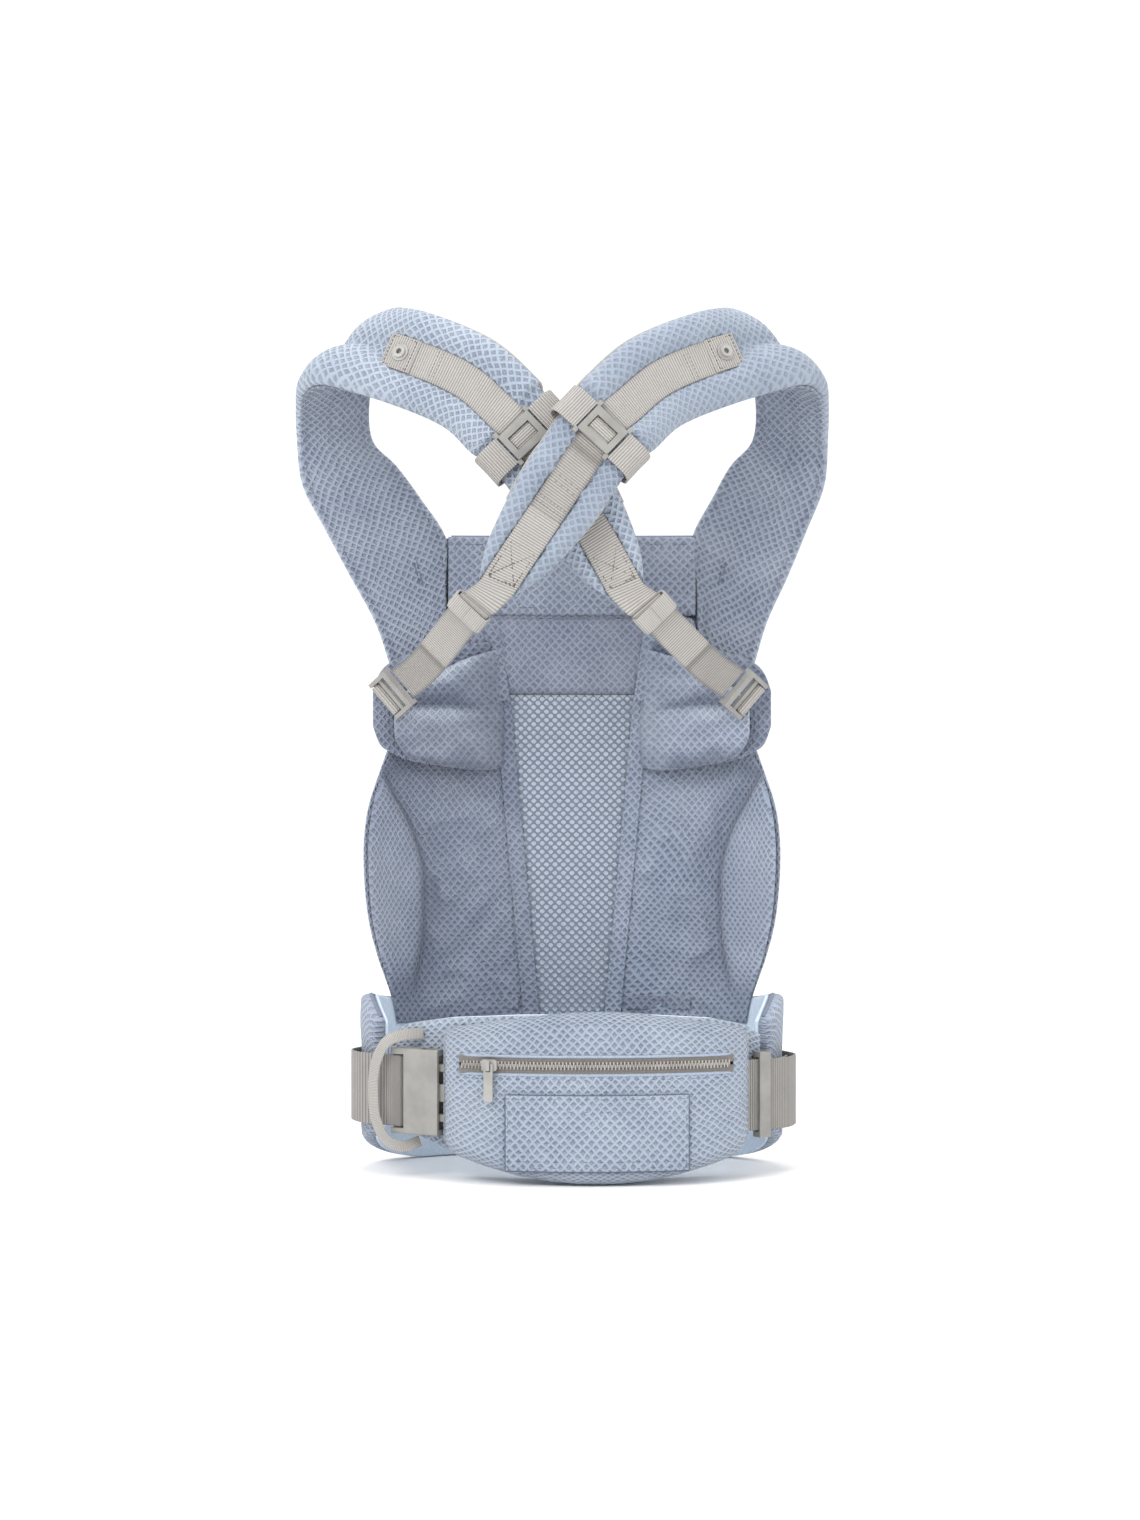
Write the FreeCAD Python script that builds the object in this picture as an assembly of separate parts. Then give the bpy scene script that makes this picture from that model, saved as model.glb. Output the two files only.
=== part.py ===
"""Soft baby carrier: crossed shoulder straps, panel for the child, padded waist belt and pouch.

Millimetres. +Z up, +X to the right of somebody facing the wearer's back, -Y towards that person.
The origin is on the ground, at the middle of the whole carrier's box. The body's own middle is beside
it, because the straps lean to one side: part shapes are made round the body's middle, then moved.
"""

import FreeCAD, Part
import math
import os

os.makedirs("parts", exist_ok=True)

MIDDLE = (-7.05, -4.45)    # the box's middle, measured from the body's own middle

LEFT = -1
RIGHT = 1
SIDES = {"left": LEFT, "right": RIGHT}
GAP = 0.1                  # between layers that are sewn together
WEB_LIFT = 0.3             # under webbing sewn on a pad

# Fabric, foam and webbing
COVER = 2.0
FOAM = 10.0
LINING = 2.0
WEB = 1.5
STRAP_WEB_WIDTH = 25.0
WAIST_WEB_WIDTH = 50.0

# Shoulder straps. Each row is one station along a strap: its edge at the neck, then its edge at the
# arm, as distance from the middle, depth and height. The straps' middle is STRAP_SHIFT off the body's.
STRAP_HALF_THICKNESS = COVER + FOAM / 2
STRAP_SHIFT = -7.0
STRAP_STATIONS = [
    (90, 64, 350, 127, 56, 336),
    (92, 64, 388, 136, 60, 366),
    (92, 64, 423, 146, 62, 396),
    (91, 63, 456, 162, 61, 428),
    (109, 62, 488, 178, 58, 462),
    (124, 62, 511, 193, 54, 496),
    (141, 62, 530, 195, 44, 528),
    (143, 50, 561, 194, 30, 549),
    (134, 30, 595, 190, 12, 560),
    (117, 4, 614, 174, -8, 563),
    (97, -24, 611, 125, -30, 546),
    (52, -42, 590, 85, -42, 528),
    (22, -50, 564, 65, -50, 509),
    (3, -54, 540, 50, -54, 496),
    (-36, -57, 486, 13, -57, 451),
    (-63, -60, 418, -27, -60, 403),
]
SHIFT_WEIGHTS = [0, 0, 0.1, 0.3, 0.6, 0.9] + [1] * 10
FRONT_STRAP_LIFT = [0] * 10 + [-1, -8, -17, -24, -26, -26]     # the right strap passes in front
FRONT_STRAP_ASIDE = [0] * 14 + [5, 0]
BAND_SLACK = 3.2           # between the pad's back and the band round it
TAB_STATION = 10.0
TAB_LENGTH = 26.0
RAIL_START = 10.28
RAIL_END = 14.1
SLIDER_STATION = 13.0

# Side webbing from a strap's end to the ladder-lock: distance from the middle, depth behind the
# back strap, depth behind the front strap, height, share of the shift, and the width's direction.
SIDE_WEB_STATIONS = [
    (-53, -69, -95, 403, 1.0, (0.80, 0, -0.60)),
    (-64, -60, -77, 396, 1.0, (0.72, 0, -0.69)),
    (-98, -26, -28, 362, 0.6, (0.70, 0, -0.71)),
    (-120, -3, -3, 346, 0.4, (0.64, 0, -0.77)),
]

LOCK_BAR = 19.0            # from the ladder-lock's mouth to the bar it tilts on

# Child's panel: an elliptical bow in plan
PANEL_MIDDLE_Y = 4.0
PANEL_DEPTH = 60.0
PANEL_HALF_BOW = 158.0
PANEL_BOTTOM = 100.0
WINDOW_TOP = 341.0
BODY_TOP = 398.0
WINDOW_HALF_BOTTOM = 24.0
WINDOW_HALF_TOP = 46.0
MESH = 3.0
BACKING = 1.5
BINDING_WIDTH = 12.0

# Head support
HEAD_TOP = 458.0
HEAD_HALF = 87.0
HEAD_MIDDLE_Y = 64.5
HEAD_COVER = 2.0
HEAD_FOAM = 5.0

# Waist belt: an ellipse in plan
BELT_A = 146.0
BELT_B = 76.0
BELT_MIDDLE_Y = 6.0
BELT_FOAM = 8.0
BELT_WING = 112.0          # degrees either side of the far middle
WEB_STANDOFF = 7.4         # from the belt's middle to the waist webbing's middle

# Lumbar pad and pouch: arcs round one upright line
ARC_X = 10.0
ARC_Y = 173.0
PAD_INSIDE = 228.0
PAD_FOAM = 10.0
PAD_FRONT = PAD_INSIDE + LINING + PAD_FOAM + COVER + 2 * GAP
POUCH_ANGLE = 1.7
POUCH_HALF_ANGLE = 24.6
POUCH_FRONT = 268.0
POUCH_WALL = 2.5
ZIP_Z = 82.4
ZIP_HEIGHT = 13.8
ZIP_FROM = -19.4
ZIP_TO = 22.6
ZIP_SLIDER_ANGLE = -14.4
PATCH_FROM = -12.0
PATCH_TO = 15.2
PATCH_BOTTOM = 10.0
PATCH_TOP = 62.0

# Waist buckle and waist webbing
WAIST_Z = 60.0
BUCKLE_ANGLE = -28.0
BUCKLE_RADIUS = 250.5
BUCKLE_LENGTH = 38.0
BUCKLE_HEIGHT = 60.0
BUCKLE_DEPTH = 14.0
PRONG_END = 24.6           # from the housing's middle to where a prong bends


# ---------------------------------------------------------------- points and curves

def add(a, b, k=1.0):
    return tuple(i + k * j for i, j in zip(a, b))


def scale(a, k):
    return tuple(i * k for i in a)


def middle(a, b):
    return scale(add(a, b), 0.5)


def unit(a):
    return scale(a, 1.0 / math.sqrt(sum(i * i for i in a)))


def cross(a, b):
    return (a[1] * b[2] - a[2] * b[1], a[2] * b[0] - a[0] * b[2], a[0] * b[1] - a[1] * b[0])


def catmull(rows, s):
    """Row at station s on the smooth curve through rows that are one station apart."""
    i = min(int(s), len(rows) - 2)
    f = s - i
    p1 = rows[i]
    p2 = rows[i + 1]
    p0 = rows[i - 1] if i > 0 else add(scale(p1, 2), p2, -1)
    p3 = rows[i + 2] if i + 2 < len(rows) else add(scale(p2, 2), p1, -1)
    return tuple(
        0.5 * (2 * b + (c - a) * f + (2 * a - 5 * b + 4 * c - d) * f ** 2 + (3 * b - a - 3 * c + d) * f ** 3)
        for a, b, c, d in zip(p0, p1, p2, p3)
    )


def spread(first, last, count):
    return [first + (last - first) * i / (count - 1) for i in range(count)]


def spline(points):
    curve = Part.BSplineCurve()
    curve.interpolate([FreeCAD.Vector(*p) for p in points])
    return curve.toShape()


def rail(points, parameters):
    """Smooth edge that reaches each point at its parameter."""
    curve = Part.BSplineCurve()
    curve.interpolate(Points=[FreeCAD.Vector(*p) for p in points], Parameters=parameters)
    return curve.toShape()


# ---------------------------------------------------------------- solids

def save(name, shape):
    if not shape.isValid() or shape.Volume <= 0:
        raise ValueError(f"{name} isn't a sound solid")
    moved = shape.copy()
    moved.translate(FreeCAD.Vector(-MIDDLE[0], -MIDDLE[1], 0))
    moved.exportStep(f"parts/{name}.step")


def ring_distances(sections):
    """Distance from the first ring's centre to each ring's, along the centres."""
    count = len(sections[0])
    centres = [tuple(sum(p[i] for p in ring) / count for i in range(3)) for ring in sections]
    distances = [0.0]
    for a, b in zip(centres, centres[1:]):
        distances.append(distances[-1] + math.dist(a, b))
    return distances


def sweep(sections, parameters=None):
    """Solid through flat rings of corners, the same number in each."""
    corners = len(sections[0])
    if parameters is None:
        parameters = ring_distances(sections)
    rails = [rail([ring[i] for ring in sections], parameters) for i in range(corners)]
    faces = [Part.makeRuledSurface(a, b, 1) for a, b in zip(rails, rails[1:] + rails[:1])]
    for ring in (sections[0], sections[-1]):
        outline = Part.makePolygon([FreeCAD.Vector(*p) for p in ring + ring[:1]])
        faces.append(Part.Face(outline))
    shell = Part.makeShell(faces)
    shell.sewShape()
    solid = Part.makeSolid(Part.Shell(shell.Faces))
    if solid.Volume < 0:
        solid.reverse()
    return solid


def mirrored(shape):
    return shape.mirror(FreeCAD.Vector(0, 0, 0), FreeCAD.Vector(1, 0, 0))


def placed(shape, origin, along, outward):
    """The shape with its Y axis turned to `along`, its Z axis to `outward` and its origin moved."""
    side = unit(cross(along, outward))
    rows = []
    for i in range(3):
        rows += [side[i], along[i], outward[i], origin[i]]
    copy = shape.copy()
    copy.Placement = FreeCAD.Placement(FreeCAD.Matrix(*rows, 0, 0, 0, 1))
    return copy


def block(x0, x1, y0, y1, z0, z1):
    return Part.makeBox(x1 - x0, y1 - y0, z1 - z0, FreeCAD.Vector(x0, y0, z0))


def plan_band(points, thickness, z0, z1):
    """Upright band that follows a line in plan."""
    near = []
    far = []
    for i, p in enumerate(points):
        a = points[max(i - 1, 0)]
        b = points[min(i + 1, len(points) - 1)]
        along = unit((b[0] - a[0], b[1] - a[1], 0))
        across = (-along[1], along[0], 0)
        near.append(add((p[0], p[1], z0), across, -thickness / 2))
        far.append(add((p[0], p[1], z0), across, thickness / 2))
    edges = [
        spline(near),
        Part.makeLine(FreeCAD.Vector(*near[-1]), FreeCAD.Vector(*far[-1])),
        spline(far),
        Part.makeLine(FreeCAD.Vector(*near[0]), FreeCAD.Vector(*far[0])),
    ]
    wire = Part.Wire(Part.__sortEdges__(edges))
    return Part.Face(wire).extrude(FreeCAD.Vector(0, 0, z1 - z0))


# ---------------------------------------------------------------- shoulder straps

def strap_edges(side, s):
    """The strap's edge at the neck and its edge at the arm, at station s."""
    neck_x, neck_y, neck_z, arm_x, arm_y, arm_z = catmull(STRAP_STATIONS, s)
    shift = STRAP_SHIFT * catmull([(w,) for w in SHIFT_WEIGHTS], s)[0]
    if side == RIGHT:
        lift = catmull([(v,) for v in FRONT_STRAP_LIFT], s)[0]
        shift += catmull([(v,) for v in FRONT_STRAP_ASIDE], s)[0]
        neck_y += lift
        arm_y += lift
    neck = (side * neck_x + shift, neck_y, neck_z)
    arm = (side * arm_x + shift, arm_y, arm_z)
    return neck, arm


def strap_frame(side, s):
    """Middle, direction along, direction outward and half width at station s."""
    neck, arm = strap_edges(side, s)
    before = middle(*strap_edges(side, max(s - 0.05, 0)))
    after = middle(*strap_edges(side, min(s + 0.05, len(STRAP_STATIONS) - 1)))
    across = unit(add(arm, neck, -1))
    along = unit(add(after, before, -1))
    outward = unit(scale(cross(across, along), -side))
    along = unit(cross(outward, scale(across, -side)))
    half = 0.5 * math.dist(neck, arm)
    return middle(neck, arm), along, outward, half


def strap_section(side, s, half, low, high):
    """Ring across the strap at station s, between two distances outward of its middle."""
    origin, along, outward, full = strap_frame(side, s)
    across = unit(cross(along, outward))
    half = full if half is None else half
    corners = [(-half, low), (half, low), (half, high), (-half, high)]
    return [add(add(origin, across, w), outward, h) for w, h in corners]


def strap_layer(side, first, last, half, low, high, count):
    stations = spread(first, last, count)
    return sweep([strap_section(side, s, half, low, high) for s in stations], stations)


def make_strap_pads(name, side):
    last = len(STRAP_STATIONS) - 1
    t = STRAP_HALF_THICKNESS
    save(f"strap_cover_{name}", strap_layer(side, 0, last, None, t - COVER, t, 29))
    save(f"strap_foam_{name}", strap_layer(side, 0, last, None, -t + LINING + GAP, t - COVER - GAP, 29))
    save(f"strap_lining_{name}", strap_layer(side, 0, last, None, -t, -t + LINING, 29))


def make_strap_rail(name, side):
    low = STRAP_HALF_THICKNESS + WEB_LIFT
    half = STRAP_WEB_WIDTH / 2
    save(f"rail_webbing_{name}", strap_layer(side, RAIL_START, RAIL_END, half, low, low + WEB, 13))
    origin, along, outward, _ = strap_frame(side, TAB_STATION)
    tab = block(-half, half, -TAB_LENGTH / 2, TAB_LENGTH / 2 - 1.0, 0, WEB)
    tab = placed(tab, add(origin, outward, low + 0.6), along, outward)
    return tab


def make_snap_socket(side):
    """Socket of a ring snap: a flange, a rim and the hole for the stud."""
    origin, along, outward, _ = strap_frame(side, TAB_STATION)
    base = add(origin, outward, STRAP_HALF_THICKNESS + WEB_LIFT + 0.6 + WEB + GAP)
    flange = Part.makeCylinder(6.2, 0.8)
    rim = Part.makeCylinder(4.4, 2.6)
    hole = Part.makeCylinder(2.1, 3.0)
    return placed(flange.fuse(rim).cut(hole), base, along, outward)


def make_rail_slider(name, side):
    """Plastic frame on the rail webbing, with the band that holds it round the pad."""
    origin, along, outward, half = strap_frame(side, SLIDER_STATION)
    top = STRAP_HALF_THICKNESS + WEB_LIFT + WEB
    frame = block(-14, 14, -11, 11, top + 0.9, top + 3.9)
    frame = frame.makeFillet(1.2, [e for e in frame.Edges if abs(e.tangentAt(0).z) > 0.9])
    frame = frame.cut(block(-9.5, 9.5, -5.5, 5.5, top, top + 5))
    for x in (-14.0, 14.0):
        for y in (-12.6, 12.6):
            frame = frame.fuse(block(x - 1.6, x + 1.6, y - 2.0, y + 2.0, top + 0.9, top + 3.1))
    save(f"rail_slider_{name}", placed(frame, origin, along, outward))
    inner = half + 3.0
    low = -STRAP_HALF_THICKNESS - BAND_SLACK
    high = top + 1.0
    ring = block(-inner - WEB, inner + WEB, -12, 12, low - WEB, high + WEB)
    ring = ring.cut(block(-inner, inner, -13, 13, low, high))
    ring = ring.cut(block(-15.7, 15.7, -13, 13, 0, high + 5))
    save(f"cross_band_{name}", placed(ring, origin, along, outward))


def side_web_frame(side, s):
    """Middle, direction across and outward of the side webbing past the end of the pad."""
    rows = []
    for m, back_y, front_y, z, weight, across in SIDE_WEB_STATIONS:
        y = front_y if side == RIGHT else back_y
        rows.append((side * m + STRAP_SHIFT * weight, y, z, side * across[0], 0, across[2]))
    row = catmull(rows, s)
    before = catmull(rows, max(s - 0.05, 0))
    after = catmull(rows, min(s + 0.05, len(rows) - 1))
    along = unit(add(after[:3], before[:3], -1))
    outward = unit(scale(cross(row[3:], along), -side))
    along = unit(cross(outward, scale(unit(row[3:]), -side)))
    return row[:3], along, outward


def side_web_section(side, s, low, high):
    origin, along, outward = side_web_frame(side, s)
    across = unit(cross(along, outward))
    half = STRAP_WEB_WIDTH / 2
    corners = [(-half, low), (half, low), (half, high), (-half, high)]
    return [add(add(origin, across, w), outward, h) for w, h in corners]


def make_side_webbing(name, side):
    low = STRAP_HALF_THICKNESS + WEB_LIFT + 0.3
    half = STRAP_WEB_WIDTH / 2
    last = len(STRAP_STATIONS) - 1
    rings = [strap_section(side, s, half, low, low + WEB) for s in spread(RAIL_END + 0.05, last, 5)]
    rings += [side_web_section(side, s, 0, WEB) for s in spread(0.15, 2.9, 11)]
    save(f"side_webbing_{name}", sweep(rings))


def make_keeper(name, side):
    """Webbing loop that holds the side webbing's tail."""
    origin, along, outward = side_web_frame(side, 1.0)
    half = STRAP_WEB_WIDTH / 2
    loop = block(-half - 2.4, half + 2.4, -7, 7, -2.6, WEB + 2.6)
    loop = loop.cut(block(-half - 1.0, half + 1.0, -8, 8, -1.1, WEB + 1.1))
    save(f"side_keeper_{name}", placed(loop, origin, along, outward))


def make_ladder_lock(name, side):
    """Ladder-lock, and the short strap that ties it to the wing."""
    origin, along, outward = side_web_frame(side, 2.95)
    origin = add(origin, along, 2.0)
    frame = block(-16, 16, 0, 21, -2.5, 4.5)
    frame = frame.cut(block(-13, 13, 5, 10, -3, 5))
    frame = frame.cut(block(-13, 13, 13, 17.3, -3, 5))
    frame = frame.cut(block(-13, 13, 4.5, 17.5, 2.5, 5))
    frame = frame.cut(block(-13, 13, 17, 20.7, 1.5, 5))
    frame = frame.cut(block(-13, 13, 17, 20.7, -3, -1.5))
    frame = frame.cut(block(-13, 13, 20.7, 22, -3, 5))
    frame = frame.cut(block(-13, 13, -1, 14, -3, -0.5))
    save(f"ladder_lock_{name}", placed(frame, origin, along, outward))
    bar = add(origin, along, LOCK_BAR)
    loop = block(-12.4, 12.4, -4.1, 4.1, -4.1, 4.1)
    loop = loop.cut(block(-13, 13, -2.7, 2.7, -2.7, 2.7))
    save(f"lock_strap_{name}", placed(loop, bar, along, outward))


def make_straps():
    sockets = []
    for name, side in SIDES.items():
        make_strap_pads(name, side)
        tab = make_strap_rail(name, side)
        save(f"snap_tab_{name}", tab)
        sockets.append(make_snap_socket(side))
        make_rail_slider(name, side)
        make_side_webbing(name, side)
        make_keeper(name, side)
        make_ladder_lock(name, side)
    save("snap_sockets", Part.makeCompound(sockets))


# ---------------------------------------------------------------- child's panel

def bow_y(x):
    """Depth of the panel's middle layer at a distance from the middle."""
    return PANEL_MIDDLE_Y + PANEL_DEPTH * math.sqrt(1 - (x / PANEL_HALF_BOW) ** 2)


def window_half(z):
    share = (z - PANEL_BOTTOM) / (WINDOW_TOP - PANEL_BOTTOM)
    return WINDOW_HALF_BOTTOM + (WINDOW_HALF_TOP - WINDOW_HALF_BOTTOM) * share


def upright_ring(x, z0, z1, near, far):
    """Ring at one x between two heights and two depths."""
    return [(x, near, z0), (x, far, z0), (x, far, z1), (x, near, z1)]


def bowed_layer(rows, near, far):
    """Layer of the panel through rows of x, lower edge and upper edge."""
    rings = [upright_ring(x, z0, z1, bow_y(x) + near, bow_y(x) + far) for x, z0, z1 in rows]
    return sweep(rings)


def level_ring(z, x0, x1, near, far):
    return [
        (x0, bow_y(x0) + near, z),
        (x1, bow_y(x1) + near, z),
        (x1, bow_y(x1) + far, z),
        (x0, bow_y(x0) + far, z),
    ]


def make_window():
    heights = spread(PANEL_BOTTOM, WINDOW_TOP - GAP, 5)
    columns = []
    for z in heights:
        half = window_half(z) - 2 * GAP
        ring = [(x, bow_y(x) - MESH / 2, z) for x in spread(-half, half, 5)]
        ring += [(x, bow_y(x) + MESH / 2, z) for x in spread(half, -half, 5)]
        columns.append(ring)
    save("airy_mesh_panel", sweep(columns))


def make_bindings():
    for name, side in SIDES.items():
        rings = []
        for z in spread(PANEL_BOTTOM, WINDOW_TOP, 5):
            inner = window_half(z)
            ends = sorted((side * inner, side * (inner + BINDING_WIDTH)))
            rings.append(level_ring(z, ends[0], ends[1], -MESH / 2 - 2.2, -MESH / 2 - 0.4))
        save(f"window_binding_{name}", sweep(rings))


def make_side_panels():
    rows = [
        (26, 100, 118),
        (30, 100, 161),
        (34, 100, 205),
        (38, 100, 248),
        (42, 100, 292),
        (46, 100, 328),
        (50, 100, 336),
        (62, 100, 337),
        (78, 100, 337),
        (93, 100, 337),
        (100, 109, 337),
        (106, 118, 336),
        (114, 121, 334),
        (122, 123, 326),
        (132, 128, 304),
        (141, 150, 284),
        (148, 196, 262),
    ]
    panel = bowed_layer(rows, -MESH / 2, MESH / 2)
    save("side_panel_right", panel)
    save("side_panel_left", mirrored(panel))


def make_outer_panel():
    half = [
        (0, 100, 396),
        (30, 100, 396),
        (60, 100, 396),
        (80, 100, 394),
        (93, 100, 384),
        (100, 109, 374),
        (106, 118, 366),
        (114, 121, 355),
        (122, 123, 338),
        (132, 128, 306),
        (141, 150, 284),
        (148, 196, 262),
    ]
    rows = [(-x, z0, z1) for x, z0, z1 in half[:0:-1]] + half
    save("outer_panel", bowed_layer(rows, MESH / 2 + GAP, MESH / 2 + GAP + BACKING))


def make_upper_back():
    rows = [(x, WINDOW_TOP + 0.2, BODY_TOP - 1.2) for x in spread(-89, 89, 9)]
    near = MESH / 2 - 6.5
    save("upper_back_cover", bowed_layer(rows, near - 2.0, near))
    save("upper_back_foam", bowed_layer(rows, near + GAP, MESH / 2))


def make_bottom_tapes():
    tapes = []
    for side in SIDES.values():
        ends = sorted((side * 40.0, side * 88.0))
        rows = [(x, 108.0, 118.0) for x in spread(ends[0], ends[1], 5)]
        tapes.append(bowed_layer(rows, -MESH / 2 - 2.0, -MESH / 2 - 0.6))
    save("bottom_tapes", Part.makeCompound(tapes))


def make_wings():
    """Folded wings at the child's legs: a near leaf and a far leaf."""
    near_rows = [
        (60, 45, 5, 288, 372),
        (80, 39, 7, 286, 362),
        (102, 30, 8, 292, 352),
        (118, 24.5, 6, 302, 344),
        (126, 22.5, 4, 310, 338),
    ]
    far_rows = [
        (60, 49.8, 3, 290, 380),
        (90, 43.6, 3.4, 288, 376),
        (118, 33, 4, 292, 370),
        (134, 28, 4, 298, 362),
        (143, 25.5, 3, 312, 348),
    ]
    for leaf, rows in (("near", near_rows), ("far", far_rows)):
        rings = [upright_ring(x, z0, z1, y - t / 2, y + t / 2) for x, y, t, z0, z1 in rows]
        shape = sweep(rings)
        save(f"wing_{leaf}_right", shape)
        save(f"wing_{leaf}_left", mirrored(shape))


def head_layer(near, far, margin=0.0):
    rows = []
    for x in spread(-HEAD_HALF + margin, HEAD_HALF - margin, 7):
        y = HEAD_MIDDLE_Y - 3.0 * (x / HEAD_HALF) ** 2
        rows.append(upright_ring(x, BODY_TOP + 1.5, HEAD_TOP, y + near, y + far))
    return sweep(rows)


def make_head_support():
    half = HEAD_FOAM / 2
    save("head_support_cover", head_layer(-half - HEAD_COVER, -half))
    save("head_support_foam", head_layer(-half + GAP, half - GAP, 2.0))
    save("head_support_back", head_layer(half, half + HEAD_COVER))


def make_panel():
    make_window()
    make_bindings()
    make_side_panels()
    make_outer_panel()
    make_upper_back()
    make_bottom_tapes()
    make_wings()
    make_head_support()


# ---------------------------------------------------------------- waist belt

def belt_point(angle, outward):
    """Point in plan at an angle from the far middle, at a distance outward of the belt's middle."""
    a = math.radians(angle)
    direction = unit((math.sin(a) / BELT_A, math.cos(a) / BELT_B, 0))
    base = (BELT_A * math.sin(a), BELT_MIDDLE_Y + BELT_B * math.cos(a), 0)
    return add(base, direction, outward)


def belt_ring(angle, low, high):
    """Ring across the belt, between two distances outward of its middle."""
    share = min(abs(angle) / 90.0, 1.0)
    z0 = 8.0 * max((share - 0.6) / 0.4, 0.0) ** 2
    z1 = 112.0 + 12.0 * share ** 2
    tip = max(abs(angle) - 98.0, 0.0) / (BELT_WING - 98.0)
    z0 += 14.0 * tip ** 2
    z1 -= 14.0 * tip ** 2
    near = belt_point(angle, low)
    far = belt_point(angle, high)
    return [near[:2] + (z0,), far[:2] + (z0,), far[:2] + (z1,), near[:2] + (z1,)]


def belt_layer(low, high):
    return sweep([belt_ring(angle, low, high) for angle in spread(-BELT_WING, BELT_WING, 29)])


def make_belt():
    half = BELT_FOAM / 2
    save("belt_lining", belt_layer(-half - LINING, -half))
    save("belt_foam", belt_layer(-half + GAP, half - GAP))
    save("belt_cover", belt_layer(half, half + COVER))


# ---------------------------------------------------------------- lumbar pad and pouch

def arc_point(angle, radius, z):
    a = math.radians(angle)
    return (ARC_X + radius * math.sin(a), ARC_Y - radius * math.cos(a), z)


def arc_ring(angle, r0, r1, z0, z1):
    return [arc_point(angle, r, z) for r, z in ((r0, z0), (r1, z0), (r1, z1), (r0, z1))]


def pad_layer(low, high):
    rows = [
        (-35.7, 40, 98),
        (-32.0, 30, 106),
        (-24.0, 18, 111),
        (-12.0, 9, 114),
        (0.0, 6, 115),
        (12.0, 9, 114),
        (22.0, 18, 111),
        (28.0, 30, 106),
        (31.1, 40, 98),
    ]
    return sweep([arc_ring(angle, PAD_INSIDE + low, PAD_INSIDE + high, z0, z1) for angle, z0, z1 in rows])


def make_lumbar_pad():
    foam = LINING + GAP
    cover = foam + PAD_FOAM + GAP
    save("lumbar_lining", pad_layer(0, LINING))
    save("lumbar_foam", pad_layer(foam, foam + PAD_FOAM))
    save("lumbar_cover", pad_layer(cover, cover + COVER))


def pouch_ring(angle, front, z0, z1):
    """Channel section: two walls that turn back to the pad, and the front between them."""
    back = PAD_FRONT + 0.3
    w = POUCH_WALL
    profile = [
        (back, z0),
        (front - 7, z0),
        (front, z0 + 9),
        (front, z1 - 9),
        (front - 7, z1),
        (back, z1),
        (back, z1 - w),
        (front - 7 - w, z1 - w),
        (front - w, z1 - 11),
        (front - w, z0 + 11),
        (front - 7 - w, z0 + w),
        (back, z0 + w),
    ]
    return [arc_point(angle, r, z) for r, z in profile]


def zip_block(angle0, angle1, r0, r1, z0, z1):
    return sweep([arc_ring(angle, r0, r1, z0, z1) for angle in spread(angle0, angle1, 9)])


def make_pouch():
    rows = [
        (-24.6, 261, 23, 105),
        (-22.6, 266, 18, 108),
        (-18.0, 268, 12, 111),
        (-12.0, 268, 5, 115),
        (-7.0, 268, 1.2, 118.4),
        (-3.0, 268, 0, 119.7),
        (0.0, 268, 0, 120),
        (3.0, 268, 0, 119.7),
        (7.0, 268, 1.2, 118.4),
        (12.0, 268, 5, 115),
        (18.0, 268, 12, 111),
        (22.6, 266, 18, 108),
        (24.6, 261, 23, 105),
    ]
    pouch = sweep([pouch_ring(POUCH_ANGLE + a, front, z0, z1) for a, front, z0, z1 in rows])
    half = ZIP_HEIGHT / 2
    slot = zip_block(ZIP_FROM, ZIP_TO, 258, 275, ZIP_Z - half, ZIP_Z + half)
    save("pouch", pouch.cut(slot))
    patch = zip_block(PATCH_FROM, PATCH_TO, POUCH_FRONT + 0.4, POUCH_FRONT + 1.9, PATCH_BOTTOM, PATCH_TOP)
    save("patch_pocket", patch)


def make_zip():
    half = ZIP_HEIGHT / 2 - 0.1
    tapes = []
    for low, high in ((-half, -1.0), (1.0, half)):
        tapes.append(zip_block(ZIP_FROM + 0.1, ZIP_TO - 0.1, 265.6, 266.6, ZIP_Z + low, ZIP_Z + high))
    save("zip_tapes", Part.makeCompound(tapes))
    save("zip_coil", zip_block(ZIP_FROM + 0.6, ZIP_TO - 0.6, 266.7, 268.3, ZIP_Z - 2.4, ZIP_Z + 2.4))
    outward = unit(add(arc_point(ZIP_SLIDER_ANGLE, 1, 0), arc_point(ZIP_SLIDER_ANGLE, 0, 0), -1))
    along = (0, 0, 1)
    base = arc_point(ZIP_SLIDER_ANGLE, 269.2, ZIP_Z)
    body = block(-5.5, 5.5, -4, 4, 0, 1.6)
    body = body.makeFillet(2.0, [e for e in body.Edges if abs(e.tangentAt(0).z) > 0.9])
    bridge = block(-1.2, 1.2, -3.4, 3.4, 1.6, 5.4).cut(block(-2, 2, -2.0, 2.0, 1.6, 4.2))
    save("zip_slider", placed(body.fuse(bridge), base, along, outward))
    tab = block(-3.2, 3.2, -25.0, 1.4, 2.3, 3.8)
    tab = tab.makeFillet(1.3, [e for e in tab.Edges if abs(e.tangentAt(0).z) > 0.9])
    tab = tab.cut(block(-1.7, 1.7, -4.2, 0.1, 2, 4))
    save("zip_pull_tab", placed(tab, base, along, outward))


# ---------------------------------------------------------------- waist buckle

def buckle_axes():
    outward = unit(add(arc_point(BUCKLE_ANGLE, 1, 0), arc_point(BUCKLE_ANGLE, 0, 0), -1))
    return arc_point(BUCKLE_ANGLE, BUCKLE_RADIUS, WAIST_Z), (0, 0, 1), outward


def in_buckle(t, n):
    """Point in plan at t along the buckle and n outward of its middle."""
    origin, along, outward = buckle_axes()
    side = unit(cross(along, outward))
    return add(add(origin, side, t), outward, n)


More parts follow.
